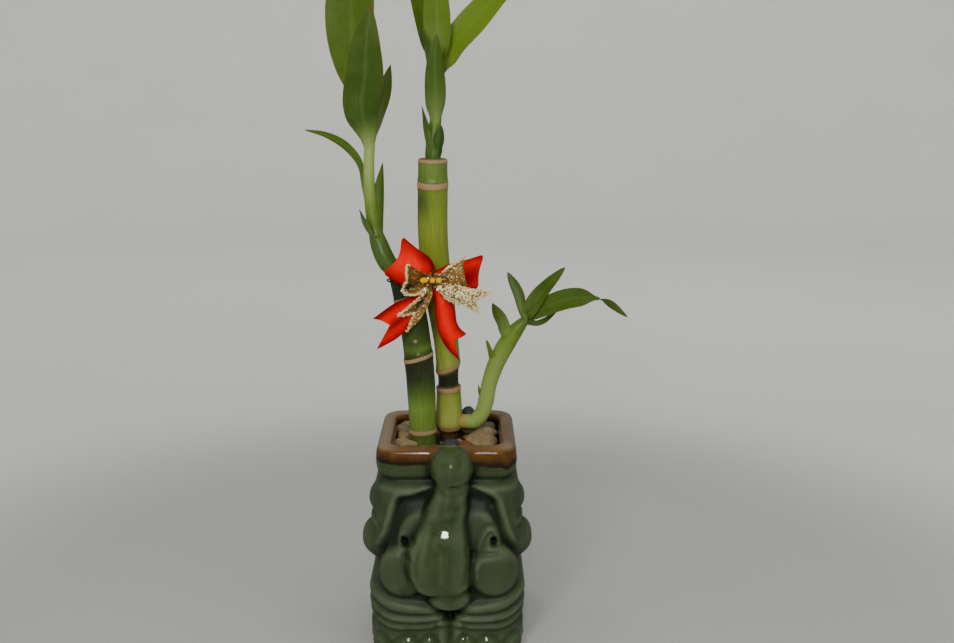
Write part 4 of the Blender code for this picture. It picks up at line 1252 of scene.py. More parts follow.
@dataclass
class ElephantPot:
    """The cast pot: rounded squares lofted up the wall with the relief, over the rim and down the cavity."""

    height: float = 110.0
    reference_flat: float = 23.0
    reference_radius: float = 12.0
    columns: int = 420
    rows: int = 200
    soften: int = 3
    pool_reach: int = 60
    ridge_reach: int = 9
    cavity_floor: float = 9.0
    # Height, half width and corner radius, up the outside and over the rim
    wall: tuple[Place, ...] = (
        (0, 34.5, 12), (1.5, 36.4, 13), (12, 37.2, 14), (30, 37.4, 14), (44, 35.6, 13),
        (60, 34.8, 12), (80, 34, 11), (90.5, 33.4, 10), (93, 32.6, 9), (95.5, 34.2, 9),
        (99, 35, 9), (104, 35.1, 9), (107.5, 34.6, 9), (109.3, 33.3, 8.5), (110, 31.3, 8),
        (109.7, 29.4, 7.5), (108.2, 27.7, 7), (105.5, 27, 6), (100, 26.9, 6),
    )
    # Heights and half widths between which the trunk crosses the neck without following it in
    neck: tuple[Flat, Flat] = ((88.0, 99.0), (33.6, 35.0))
    cavity_half: float = 26.0
    cavity_radius: float = 6.0
    brown_edge: float = 101.2
    # Drips of brown glaze: place round the wall, how far they run down, and half width
    drips: tuple[Place, ...] = (
        (29, 2.6, 3.4), (20, 0.8, 3), (-22, 0.7, 4), (52, 1.6, 3.6), (83, 1.1, 4.6),
        (-50, 1.5, 4), (-86, 1.9, 3.4), (118, 1.2, 4.2), (-116, 2.1, 3.2),
    )

    @property
    def quarter(self) -> float:
        """Length of a quarter of the reference wall, which is also where a side's middle lies."""
        return 2 * self.reference_flat + self.reference_radius * math.pi / 2

    def ring(self, half: float, radius: float, places: Array) -> tuple[Array, Array]:
        """A rounded square.

        Args:
            half: Half its width.
            radius: Its corner radius.
            places: Places round the reference wall.

        Returns:
            Points and outward directions, each as rows of x and y.
        """
        turn = np.floor((places + self.quarter / 2) / self.quarter)
        local = places - turn * self.quarter
        flat = half - radius
        past = np.clip(np.abs(local) - self.reference_flat, 0, None)
        angle = np.sign(local) * past / self.reference_radius
        straight = np.clip(local / self.reference_flat, -1, 1) * flat
        x, y = straight + radius * np.sin(angle), -flat - radius * np.cos(angle)
        heading = turn * math.pi / 2
        c, s = np.cos(heading), np.sin(heading)
        out_x, out_y = np.sin(angle), -np.cos(angle)
        points = np.stack([c * x - s * y, s * x + c * y], axis=1)
        return points, np.stack([c * out_x - s * out_y, s * out_x + c * out_y], axis=1)

    def marks(self, u: Array, z: Array, reach: Array, outside: Array) -> dict[str, Array]:
        """What the glaze does at each place.

        Args:
            u: Places round the wall.
            z: Heights.
            reach: How far out the surface lies.
            outside: 1 on the outside of the pot and 0 past the crest of the rim.

        Returns:
            The marks by row and column.
        """
        hollow = blurred(reach, self.pool_reach) - reach
        edges = reach - blurred(reach, self.ridge_reach)
        edge = self.brown_edge - 0.6 * np.sin(u / 24.0) + 0.3 * np.sin(u / 5.3 + 1.0) + 0.2 * np.sin(u / 2.1)
        for at, run, half in self.drips:
            edge = edge - run * bell(u, at, half)
        front, level = fold_back(u, self.quarter)[1], np.minimum(z, self.height)
        trunk = ease(trunk_relief(front, level) * outside, 0.2, 1.2)
        nose = np.maximum(trunk, ease(mound(front, level, LIP), 0.2, 1.2))
        above = ease(level - column(front, HEADDRESS_EDGE, 1), -1.4, 0.4)
        beside = ease(np.abs(front) - column(level, EAR_EDGE, 1), -1.4, 0.4)
        # Painted shade on the plain wall of the face between the headdress, the ears and the bosses; it goes into the
        # pool mark.
        face = outside * ease(z, 54, 60) * (1 - above) * (1 - beside) * (1 - ease(head_relief(front, level), 0.2, 1.4))
        # Painted shade: how far into an eye hole each place lies, for the near-black hole colour.
        holes = sum((stroke(front, level, eye) / eye.height for eye in EYES), np.zeros(u.shape)) * outside
        brown = np.maximum(ease(z - edge, -0.5, 0.5), 1 - outside) * (1 - trunk)
        crest = ease(z, 107.0, 109.6) * np.maximum(outside, ease(z, 108.4, 109.4))
        return {
            "pool": np.maximum(ease(hollow, 0.1, 2.2), 0.85 * face),
            "hole": np.clip(1.5 * holes, 0, 1),
            "ridge": ease(edges, -0.08, 0.5) * ease(-hollow, -0.6, 0.9) * (1 - 0.7 * trunk * ease(z, 84, 96)),
            "sunk": 0.95 * (1 - ease(z - edge, 0.3, 5.4)),
            "dull": outside * ease(z, 11, 14) * (1 - ease(z, 96, 99)) * (1 - nose),
            "brown": brown,
            "crest": crest * (1 - 0.8 * bell(u, 0, 28, 6) - 0.55 * bell(u, self.quarter, 28, 6)),
            "inner": (1 - outside) * (1 - ease(z, 104.0, 108.6)),
            "bare": (1 - ease(z, 0.5, 1.6)) * outside,
        }

    def shell(self) -> Shell:
        """The whole pot as one closed surface.

        Returns:
            The surface with its marks.
        """
        places = (np.arange(self.columns) / self.columns - 0.5) * 4 * self.quarter
        table = np.array(self.wall)
        profile = smooth_path(table[:, [1, 0, 2]], self.rows)
        crest = int(np.argmax(profile[:, 1]))
        past = np.linalg.norm(profile[:, :2] - profile[crest, :2], axis=1) * (np.arange(self.rows) > crest)
        u, z = np.meshgrid(places, np.minimum(profile[:, 1], self.height))
        z[crest:] = self.height
        heights = blurred(relief(u, z, self.quarter), self.soften)
        heights *= (0.3 + 0.7 * ease(profile[:, 1], 0.0, 0.8))[:, None]
        heights *= (1 - ease(past, 0.0, 2.6))[:, None]
        plain = np.interp(profile[:, 1], self.neck[0], self.neck[1]) - profile[:, 0]
        plain *= ease(profile[:, 1], 86.0, 89.0) * (1 - ease(profile[:, 1], 98.0, 100.0)) * (past == 0)
        heights += ease(heights, 3.0, 7.0) * plain[:, None]
        z = np.broadcast_to(profile[:, 1:2], u.shape)
        outside = np.broadcast_to((np.arange(self.rows) <= crest)[:, None], u.shape).astype(float)
        marks = self.marks(u, z, profile[:, :1] + heights, outside)
        rings = np.empty((self.rows + 1, self.columns, 3))
        for row, (half, level, radius) in enumerate(profile):
            points, outward = self.ring(half, radius, places)
            rings[row, :, :2] = points + outward * heights[row][:, None]
            rings[row, :, 2] = level
        rings[-1, :, :2] = self.ring(self.cavity_half, self.cavity_radius, places)[0]
        rings[-1, :, 2] = self.cavity_floor
        return loft(rings, {name: np.vstack([grid, grid[-1:]]) for name, grid in marks.items()})

    def make(self) -> None:
        """Makes the pot in its glaze."""
        mesh = make_mesh("glazed_elephant_pot", [self.shell()], 60.0)
        settle(mesh, PotGlaze().build(), Slot.GLAZE, "elephant_pot")


@dataclass(frozen=True)
class Pebble:
    """A listed pebble: its middle, radii, turn in degrees, and tint from dark grey to brown."""

    at: Place
    radii: Place
    turn: float
    tint: float


@dataclass
class PebbleBed:
    """The grit in the cavity and the pebbles on it."""

    bottom: float = 9.3
    grit_top: float = 100.4
    half: float = 25.6
    reach: float = 26.2
    seed: int = 7
    tries: int = 900
    crowding: float = 0.74
    # Canes, which pebbles lie clear of: x, y and radius
    stalks: tuple[Place, ...] = ((-12.9, 2.0, 8.4), (0.8, 12.5, 7.6))
    laid: tuple[Pebble, ...] = tuple(Pebble(*row) for row in (
        ((-22.6, -5.6, 102.4), (7.4, 3.4, 3), 4, 0.52), ((-23.4, 5.4, 103.2), (3.8, 4.6, 3.4), 20, 0.58),
        ((-23, 14.5, 103.6), (4.2, 5.2, 3.6), 80, 0.36), ((-20.5, 23, 103), (5.6, 3.8, 3.2), 10, 0.44),
        ((18.4, -1.6, 102.6), (8.6, 6.6, 3.9), -12, 0.56), ((19.6, 10.6, 103.3), (7.4, 4.2, 2.9), 8, 0.5),
        ((20.8, 21.6, 103.2), (6, 4.6, 3.4), 30, 0.3), ((11.6, 20.2, 103.2), (5, 4.2, 3.6), 10, 0.3),
        ((11.4, 20.2, 110.6), (4, 4, 5.4), 0, 0.02), ((1.6, -3, 101.6), (5.2, 4, 2.6), 30, 0.02),
        ((9.6, -5.6, 101.6), (4.2, 3, 2.4), -30, 0.98), ((-6.4, -9.4, 101.4), (4.6, 3.2, 2.6), 12, 0.16),
        ((-2.2, -12.8, 101.2), (5.2, 3.8, 2.6), -20, 0.42), ((9.5, -14, 101.6), (6.4, 4.6, 2.8), 35, 0.62),
        ((-13.4, -15, 101.4), (6.2, 4.4, 2.8), 15, 0.5), ((21.5, -15.5, 101.6), (4.8, 5.6, 2.8), 0, 0.4),
    ))

    def points(self) -> tuple[Array, Array, Array, Array]:
        """Lays the pebbles: first those listed, then others by seeded draws where there is room.

        Returns:
            Middles, radii, turns and tints.
        """
        draw = random.Random(self.seed)
        kept = [(p.at, p.radii, (0.0, 0.0, math.radians(p.turn)), p.tint) for p in self.laid]
        for _ in range(self.tries):
            x, y = (draw.uniform(-self.reach, self.reach) for _ in range(2))
            size = draw.uniform(2.2, 4.6)
            radii = (size, size * draw.uniform(0.7, 1.0), size * draw.uniform(0.5, 0.75))
            turn = (draw.uniform(-0.3, 0.3), draw.uniform(-0.3, 0.3), draw.uniform(0, math.pi))
            z = draw.uniform(100.2, 101.6)
            tint = draw.random()
            room = all(math.hypot(x - a, y - b) > r + 0.7 * size for a, b, r in self.stalks)
            inside = max(abs(x), abs(y)) + size < self.reach
            for at, other, _, _ in kept:
                apart = self.crowding * (size + 0.5 * (other[0] + other[1]))
                room = room and math.hypot(x - at[0], y - at[1]) > apart
            if room and inside:
                kept.append(((x, y, z), radii, turn, tint))
        return tuple(np.array([pebble[i] for pebble in kept]) for i in range(4))

    def make(self, pot: ElephantPot) -> None:
        """Makes the grit and the pebbles.

        Args:
            pot: The pot, for the shape of its cavity.
        """
        places = (np.arange(96) / 96 - 0.5) * 4 * pot.quarter
        levels = [(self.bottom, 0.0), (self.grit_top - 1.2, 0.0), (self.grit_top, 0.6), (self.grit_top, 14.0)]
        rings = []
        for level, inset in levels:
            ring = pot.ring(self.half - inset, max(1.0, pot.cavity_radius - inset), places)[0]
            rings.append(np.column_stack([ring, np.full(len(ring), level)]))
        mesh = make_mesh("grit_bed", [loft(np.array(rings))])
        settle(mesh, Grit().build(), Slot.PEBBLES, "pebble_bed")
        at, radii, turns, tints = self.points()
        marks = {"size": radii * MM, "turn": turns, "tint": tints}
        source = path_mesh([at[i : i + 1] for i in range(len(at))], marks)
        stone = RiverStone().build()
        made = run_tree(pebble_tree(), source, "river_pebbles", Lump=3.4 * MM, Waves=120.0, Material=stone)
        made.shade_smooth()
        settle(made, stone, Slot.PEBBLES, "pebble_bed")


@dataclass(frozen=True)
class Ring:
    """A leaf scar round a cane: height, rise along X and along Y, half height, bulge and how corky it is."""

    height: float
    rise: Flat
    half: float
    bulge: float
    cork: float = 1.0


@dataclass
class Cane:
    """A cane: points up its middle, its radius by height, its scars, and its tones by height."""

    name: str
    slot: Slot
    node: str
    points: tuple[Place, ...]
    girth: tuple[Flat, ...]
    rings: tuple[Ring, ...]
    tones: tuple[tuple[float, Colour], ...]
    lee: Colour
    # Where the shaded side of the skin is darkest: height, half height and share
    shades: tuple[Place, ...]
    cut_tone: Colour = paint(150, 128, 84)
    # Pale spots on the front: place along X, height and size
    spots: tuple[Place, ...] = ()
    sides: int = 72
    step: float = 0.55

    def make(self) -> None:
        """Makes the cane."""
        points = np.array(self.points, float)
        bottom, top = points[0, 2], points[-1, 2]
        levels = np.linspace(bottom, top, int((top - bottom) / self.step))
        path = smooth_values(levels, points[:, 2], points)
        girth = np.interp(levels, *np.array(self.girth).T)
        scar, lean = np.zeros(len(levels)), np.zeros((len(levels), 2))
        for ring in self.rings:
            girth = girth + ring.bulge * bell(levels, ring.height, ring.half)
            cork = 1 - ease(np.abs(levels - ring.height), 0.4 * ring.half, 1.3 * ring.half)
            scar = np.maximum(scar, ring.cork * cork)
            lean += np.array(ring.rise) * bell(levels, ring.height, 4 * ring.half)[:, None]
        rounding = 0.9 * (1 - np.clip((top - levels) / 0.9, 0, 1)) ** 2
        marks = {"along": (levels - bottom) / (top - bottom), "scar": scar}
        shell = sweep(path, girth - rounding, self.sides, lean, **marks)
        x, y, z = shell.points.T
        middle = smooth_values(np.clip(z, bottom, top), points[:, 2], points)
        side = (middle[:, 0] - x) / np.hypot(x - middle[:, 0], y - middle[:, 1])
        # Painted shade on the cane's side towards -X, strongest at the heights in shades.
        lee = sum(share * bell(z, height, half) for height, half, share in self.shades)
        shell.marks["lee"] = np.clip(lee * ease(side, -0.5, 0.9), 0, 1)
        shell.marks["cut"] = (z > top - 0.12).astype(float)
        spots = (np.exp(-((x - at) ** 2 + (z - height) ** 2) / size**2) * (y < 0) for at, height, size in self.spots)
        shell.marks["spot"] = sum(spots, np.zeros(len(x)))
        tones = tuple(((level - bottom) / (top - bottom), colour) for level, colour in self.tones)
        skin = CaneSkin(self.name + "_skin", tones, self.lee, pith=self.cut_tone)
        settle(make_mesh(self.name, [shell], 50.0), skin.build(), self.slot, self.node)


LEFT_CANE = Cane(
    "left_cane_stalk",
    Slot.LEFT_CANE,
    "left_cane",
    ((-12, 2, 48), (-12.8, 2, 104), (-14.6, 2, 145.6), (-17.4, 2, 168), (-21.3, 2, 186.5), (-23.6, 2, 197)),
    ((48, 6.6), (104, 6.9), (108, 7), (118, 7.15), (128, 7.4), (145, 7.5), (149, 7.3), (176, 7.4), (197, 7.4)),
    (
        Ring(107.9, (0.02, 0), 1.6, 0.45), Ring(147.6, (0.2, 0), 1.3, 0.5), Ring(179.6, (0.12, 0), 1.1, 0.4, 0.8),
        Ring(195.6, (0, 0), 0.9, 0.2, 0.5),
    ),
    # The dark stops at 137 and 145, under the ring at 147.6, and from 181 up, behind the bows, are painted shade.
    (
        (48, paint(36, 44, 14)), (106, paint(66, 90, 34)), (111, paint(94, 122, 44)), (121, paint(96, 126, 42)),
        (130, paint(62, 88, 18)), (137, paint(34, 52, 12)), (145, paint(24, 38, 10)), (149, paint(36, 56, 14)),
        (152.5, paint(82, 112, 30)), (156, paint(50, 78, 18)), (176, paint(36, 60, 14)), (181, paint(12, 26, 9)),
        (197, paint(18, 34, 12)),
    ),
    paint(10, 18, 8),
    ((142, 9, 0.95), (170, 9, 0.4), (192, 12, 0.4)),
    cut_tone=paint(52, 54, 24),
    # The first spot is a pale dot on the skin; the second is a painted highlight.
    spots=((-16.0, 157.4, 0.75), (-14.6, 150.6, 0.5)),
)
RIGHT_CANE = Cane(
    "right_cane_stalk",
    Slot.RIGHT_CANE,
    "right_cane",
    (
        (1.4, 12.5, 48), (0.9, 12.5, 104), (0.6, 12.4, 126), (0.5, 12.3, 130.5), (0.3, 11.2, 143),
        (-3.4, 8, 176.5), (-6.5, 7, 202), (-6.8, 7, 240), (-6.7, 7, 249.5),
    ),
    (
        (48, 4.6), (103.6, 4.8), (104.6, 5.4), (105.6, 6.2), (107, 6.8), (110, 7.1), (118, 6.9), (127.4, 6.3),
        (128.6, 6.5), (129.2, 6.4), (129.5, 5.4), (134, 5.3), (137, 5.5), (140, 6.4), (144, 6.3), (156, 6.5),
        (172, 7.2), (200, 7.6), (236, 7.7), (241, 7.5), (249.5, 7.4),
    ),
    (
        Ring(106.2, (-0.02, 0), 1.3, 0.1, 0.8), Ring(128, (0, 0), 1.7, 0.2, 0.95),
        Ring(139.6, (0.34, 0), 1.8, 0.3, 0.9), Ring(237, (0, 0.2), 2.1, 0.35), Ring(248.4, (0, 0), 1.1, 0.15),
    ),
    (
        (48, paint(30, 24, 14)), (104.6, paint(60, 38, 18)), (106.6, paint(132, 104, 48)),
        (109, paint(148, 150, 70)), (114, paint(144, 154, 70)), (124, paint(126, 136, 42)),
        (129.2, paint(112, 92, 52)), (130.2, paint(14, 24, 9)), (136.8, paint(16, 26, 9)),
        (139.8, paint(134, 136, 62)), (146, paint(130, 144, 50)), (170, paint(108, 126, 32)),
        (215, paint(116, 133, 34)), (235, paint(104, 126, 30)), (240, paint(84, 114, 36)),
        (249.5, paint(92, 118, 46)),
    ),
    paint(28, 42, 14),
    ((228, 9, 0.8), (176, 18, 0.3)),
)


class Side(Enum):
    """Which side of a blade faces the way that its facing says."""

    UPPER = 1
    UNDER = -1


@dataclass(frozen=True)
class Leaf:
    """A leaf.

    It has its midrib, its width, the heading of the side that shows, its twist and fold, its tone, how pale
    its base is, where its base opens, how blunt its tip is, where it turns over and by how much, and which
    side shows.
    """

    midrib: tuple[Place, ...]
    width: float
    facing: float
    twist: float
    fold: float
    tone: float
    pale: float = 0.35
    opening: float = 0.22
    blunt: float = 1.0
    kink: float = 0.72
    turn: float = 0.0
    side: Side = Side.UNDER


@dataclass
class Shoot:
    """A leafy stem: its path with the radius and tone at each point, and its leaves.

    A tone of 0 is dark green, 1 bright green and 2 pale.
    """

    name: str
    node: str
    stem: tuple[tuple[Place, float, float], ...]
    leaves: tuple[Leaf, ...]
    sides: int = 40
    across: int = 14
    wrap: float = 2.5
    thickness: float = 0.42
    # How narrow a leaf gets where it turns over, and along what share of its length
    turn_pinch: float = 0.84
    turn_half: float = 0.085
    # How far up the stem its rusty foot goes
    rusty: float = 0.0

    def stem_path(self) -> tuple[Array, Array, Array]:
        """The stem's points, radii and tones, close together.

        Returns:
            The points, the radii and the tones.
        """
        places = np.array([place for place, _, _ in self.stem], float)
        values = np.array([(radius, tone) for _, radius, tone in self.stem])
        path = smooth_path(places, 140)
        lengths = lengths_along(places)
        read = smooth_values(np.linspace(0.0, lengths[-1], len(path)), lengths, values)
        return path, read[:, 0], read[:, 1]

    def frame_of(self, leaf: Leaf, rows: int, path: Array, girth: Array) -> tuple[Array, ...]:
        """Where a leaf's middle runs and how its section lies there.

        The base wraps the stem, and the blade opens from it.

        Args:
            leaf: The leaf.
            rows: How many sections it has.
            path: The stem's points.
            girth: The stem's radii.

        Returns:
            Middles, directions across, directions of the upper side, how far the leaf is open, and the stem's
            radius at each section.
        """
        middles = smooth_path(leaf.midrib, rows)
        t = np.linspace(0, 1, rows)
        open_share = ease(t, 0.02, leaf.opening * 1.6)[:, None]
        nearest = np.argmin(np.linalg.norm(path[None] - middles[:, None], axis=2), axis=1)
        heading = math.radians(leaf.facing)
        seen = np.array([math.sin(heading), -math.cos(heading), 0.0])
        outward = -leaf.side.value * seen
        radius = girth[nearest] + self.thickness * (1.6 * ease(t, 0.0, 0.2) - 1.3)
        held = path[nearest] + outward * radius[:, None]
        middles = held * (1 - open_share) + middles * open_share
        tangents = unit(np.gradient(middles, axis=0))
        turns = np.radians(leaf.facing + leaf.twist * t + leaf.turn * ease(t, leaf.kink - 0.07, leaf.kink + 0.07))
        facing = np.stack([np.sin(turns), -np.cos(turns), np.full(rows, 0.25)], axis=1)
        upper = leaf.side.value * facing * open_share - outward * (1 - open_share)
        upper = unit(upper - np.sum(upper * tangents, axis=1, keepdims=True) * tangents)
        return middles, np.cross(tangents, upper), upper, open_share[:, 0], radius

    def blade(self, leaf: Leaf, index: int, path: Array, girth: Array) -> Shell:
        """One leaf as a closed thin surface.

        Args:
            leaf: The leaf.
            index: Its number, which sets its small waves apart from the others'.
            path: The stem's points.
            girth: The stem's radii.

        Returns:
            The surface.
        """
        rows = 96 if leaf.width > 8 else 56
        middles, aside, upper, opened, radius = self.frame_of(leaf, rows, path, girth)
        t = np.linspace(0, 1, rows)
        body = np.sin(np.pi * t ** (0.8 * leaf.blunt)) ** 0.75
        if leaf.turn:
            body = body * (1 - self.turn_pinch * bell(t, leaf.kink, self.turn_half))
        blade_half = 0.5 * leaf.width * body + 0.3 * (1 - t) ** 0.5 + 0.04
        half = self.wrap * radius * (1 - opened) + blade_half * opened
        bend = self.wrap * (1 - opened) ** 1.4 + math.radians(leaf.fold) * (1 - 0.6 * t) * 1.6
        share = np.linspace(-1, 1, self.across + 1)[None, :]
        angle = bend[:, None] * share
        curl = (half / bend)[:, None]
        side = curl * np.sin(angle)
        lift = curl * (1 - np.cos(angle))
        wave = 0.05 * leaf.width * (np.sin(9 * t + 2.1 * index) * opened)[:, None] * share**2 * np.sign(share)
        surface = middles[:, None] + aside[:, None] * side[..., None] + upper[:, None] * (lift + wave)[..., None]
        normals = upper[:, None] * np.cos(angle)[..., None] - aside[:, None] * np.sin(angle)[..., None]
        body_thick = self.thickness * (0.35 + 0.65 * (1 - t)) * (0.3 + 0.7 * ease(t, 0.0, 0.1))
        thick = body_thick[:, None] * np.sqrt(np.clip(1 - share**2, 0, 1)) + 0.03
        offset = normals * thick[..., None] / 2
        rings = np.concatenate([surface + offset, (surface - offset)[:, ::-1]], axis=1)
        shares = np.broadcast_to(np.concatenate([share, share[:, ::-1]], axis=1), rings.shape[:2])
        length = np.linalg.norm(np.diff(middles, axis=0), axis=1).sum()
        base = (1 - ease(t * length, 4.0, 26.0))[:, None]
        pale = np.clip(leaf.pale * base * (1 - 0.5 * t)[:, None], 0, 1)
        marks = {
            "along": t,
            "across": shares,
            "tone": np.full(rows, leaf.tone),
            "pale": np.broadcast_to(pale, rings.shape[:2]),
            "tipped": np.ones(rows),
            "rust": np.zeros(rows),
        }
        return loft(rings, marks)

    def make(self, skin: Material) -> None:
        """Makes the shoot.

        Args:
            skin: The leaves' material.
        """
        path, girth, tones = self.stem_path()
        count = len(path)
        marks = {"along": np.linspace(0, 0.9, count), "tone": np.clip(tones, 0, 1), "pale": np.clip(tones - 1, 0, 1)}
        marks["rust"] = np.zeros(count)
        if self.rusty:
            marks["rust"] = 0.6 * (1 - ease(lengths_along(path), 0.5 * self.rusty, self.rusty))
        ends = np.minimum(np.arange(count), np.arange(count)[::-1])
        rounded = girth * np.sqrt(np.clip(0.2 + ends / 5, 0, 1))
        stem = sweep(path, rounded, self.sides, **marks)
        shells = [stem] + [self.blade(leaf, i, path, girth) for i, leaf in enumerate(self.leaves)]
        settle(make_mesh(self.name, shells, 70.0), skin, Slot.LEAF, self.node)


LEFT_SHOOT = Shoot(
    "left_shoot_leaves",
    "left_shoot",
    (
        ((-25, 0, 193.4), 4, 0), ((-29.2, 0, 196.4), 4.7, 0), ((-31.8, 0, 201), 4.8, 0.1),
        ((-34.3, 0.5, 207.6), 4.4, 0.1), ((-36, 1, 213.4), 3.5, 0.3), ((-37.2, 1, 220), 3.3, 0.7),
        ((-38.4, 1, 233), 2.9, 1.4),
        ((-38.4, 0, 248), 2.7, 1.9), ((-37.6, 0, 262), 2.6, 1.7), ((-37.3, 1, 275), 1.5, 0.8),
    ),
    (
        Leaf(((-36, -1, 207), (-40.6, -5, 216.8), (-43, -8, 225.6)), 5.4, -50, 0, 35, 0.25, 0.2, blunt=1.5),
        Leaf(((-33.8, 0, 202), (-33.8, 0.5, 217), (-33.6, 1, 231), (-31.6, 1, 248)), 7.2, 30, 0, 46, 0.2, 0.3),
        Leaf(
            (
                (-38.8, 2, 220), (-42.1, 5, 235), (-44.5, 8, 247),
                (-51.3, 11, 255.5), (-61.2, 14, 261), (-72.7, 17, 263.5),
            ),
            5, -60, 25, 40, 0.35, 0.6,
        ),
        Leaf(
            (
                (-37.6, -1, 246), (-39.4, -4, 263), (-40.8, -8, 277),
                (-38.6, -12, 289), (-37.4, -16, 303), (-34.5, -20, 321.5),
            ),
            19, 4, 10, 24, 0.1, 1, blunt=1.25,
        ),
        Leaf(
            ((-36.8, 1, 254), (-32.9, 4, 272), (-29.4, 6, 285), (-27.2, 7, 296)),
            8.4, 30, 10, 40, 0.2, 0.6, blunt=1.5,
        ),
        Leaf(
            ((-37.5, 2, 262), (-41.8, 8, 283), (-46.8, 15, 308), (-46.4, 20, 337), (-40.8, 22, 363)),
            27, -15, -8, 18, 0.3, 0.3, blunt=1.5, side=Side.UPPER,
        ),
    ),
)
TOP_SHOOT = Shoot(
    "right_top_leaves",
    "right_top_shoot",
    (
        ((-6.6, 8, 246), 3.8, 0.1), ((-6.6, 8, 252), 4, 0.1), ((-6.2, 8, 260), 3.5, 0.3),
        ((-5, 8, 270), 2.9, 0.7), ((-4.2, 8, 282), 2.5, 0.8), ((-3.6, 8, 296), 1.4, 0.9),
    ),
    (
        Leaf(((-8.4, 6, 249), (-10.2, 4, 263.5), (-11.8, 2, 276)), 5.4, -50, 0, 40, 0.1, 0.1),
        # This small leaf has a tone below dark and no pale base: painted shade in the opening of the sheath.
        Leaf(((-4.6, 6, 248.6), (-3.6, 4.6, 257), (-2, 4.2, 266)), 7, 25, 0, 44, -0.25, 0),
        Leaf(((-5.5, 6, 262), (-4.9, 2, 281), (-5, -1, 297), (-4, -3, 310)), 11, 5, 0, 35, 0.2, 0.5),
        Leaf(((-4.2, 9.2, 264), (-1.8, 13, 276), (-0.8, 15, 286)), 5, 70, 0, 35, 0.1, 0.2),
        Leaf(((-5.6, 7, 284), (-9, 5, 298), (-10.9, 4, 313)), 6.4, -60, 0, 40, 0.1, 0.2, blunt=1.3),
        Leaf(
            ((-3.8, 8, 288), (-4, 10, 308), (-4.5, 14, 328), (-4.1, 20, 352)),
            13.5, 0, 5, 22, 0.6, 0.3, side=Side.UPPER,
        ),
        Leaf(
            ((-2.8, 9, 283), (3.2, 11, 303), (14.7, 14, 317.5), (29, 17, 332), (47.5, 19, 343)),
            15.5, -20, -10, 20, 1, 0.5, opening=0.14, side=Side.UPPER,
        ),
        Leaf(((-4.2, 9.2, 286), (-8.6, 18, 308), (-13.6, 25, 327), (-21.4, 31, 345)), 11, 200, 5, 25, 0.2),
    ),
)
SIDE_SHOOT = Shoot(
    "right_side_leaves",
    "right_side_shoot",
    (
        ((3, 11.8, 110.4), 3.6, 1.8), ((9.5, 11, 109.8), 3.8, 1.9), ((14.4, 9.4, 110.6), 4, 1.8),
        ((18.2, 8.5, 115), 4.1, 1.9), ((20.3, 7.4, 121.5), 4.1, 1.85), ((21.9, 6.4, 131), 4.1, 1.7),
        ((26.3, 5.4, 144.5), 4.5, 1.4), ((31, 5, 153.6), 4.6, 1.15), ((37, 4, 162.6), 3.6, 0.6),
        ((41.5, 4, 167.6), 2, 0.2),
    ),
    (
        Leaf(((18.6, 6.6, 121), (16.8, 6, 127.4), (16.3, 5.6, 132)), 4, -60, 0, 30, 0.6, 0.3),
        Leaf(((25.4, 4.5, 138), (22.2, 3, 149), (20.6, 2, 156.4)), 6, -50, 0, 40, 0.8, 0.2),
        Leaf(((31.4, 4, 155), (28.6, 1, 165), (23.4, -3, 177)), 7.8, -30, 0, 25, 0.25, 0.5),
        Leaf(((39.2, 5, 166), (38, 7, 178), (31.5, 9, 191)), 5.8, 10, 0, 30, 0.1, 0.2, blunt=1.35),
        Leaf(((38.6, 4, 164), (48.2, 1, 180.5), (60.2, -2, 195)), 9, -35, 0, 25, 0.12, 0.2, side=Side.UPPER),
        Leaf(
            ((40, 4, 166), (53, -3, 175.8), (65.3, -9, 180.6), (77.6, -14, 180.6), (90.4, -18, 172.6)),
            10.8, -35, 0, 24, 0.15, 0.2, blunt=0.9, turn=190, side=Side.UPPER,
        ),
        Leaf(((40.5, 4.5, 163.8), (49.7, 9, 164.8), (58.4, 13, 170)), 2.8, -30, 0, 30, 0.1, 0.2),
    ),
    wrap=1.5,
    rusty=11.0,
)


@dataclass(frozen=True)
class Strip:
    """A length of ribbon between two edges.

    The edges are points from the waist outwards, and for a loop also back. Crown is how far the middle
    stands out to the front by share of the way along, folds how many waves the crown has across, pinch how
    far a loop's middle is drawn in at its end, notch how deep the end is cut, and pleats how many gathers
    the waist makes. Corner is how far a loop's corners are rounded off. Shades are places darkened with
    painted shade: share of the way along, half length, place across, half width and amount. Trims are
    glittering lengths of edge: side and the shares of the way along where each starts and ends.
    """

    first: tuple[Place, ...]
    second: tuple[Place, ...]
    crown: tuple[Flat, ...]
    folds: float = 0.5
    pinch: float = 0.0
    notch: float = 0.0
    pleats: int = 3
    pleat_depth: float = 0.7
    spark: float = 0.3
    corner: float = 0.0
    shades: tuple[tuple[float, float, float, float, float], ...] = ()
    trims: tuple[Place, ...] = ()


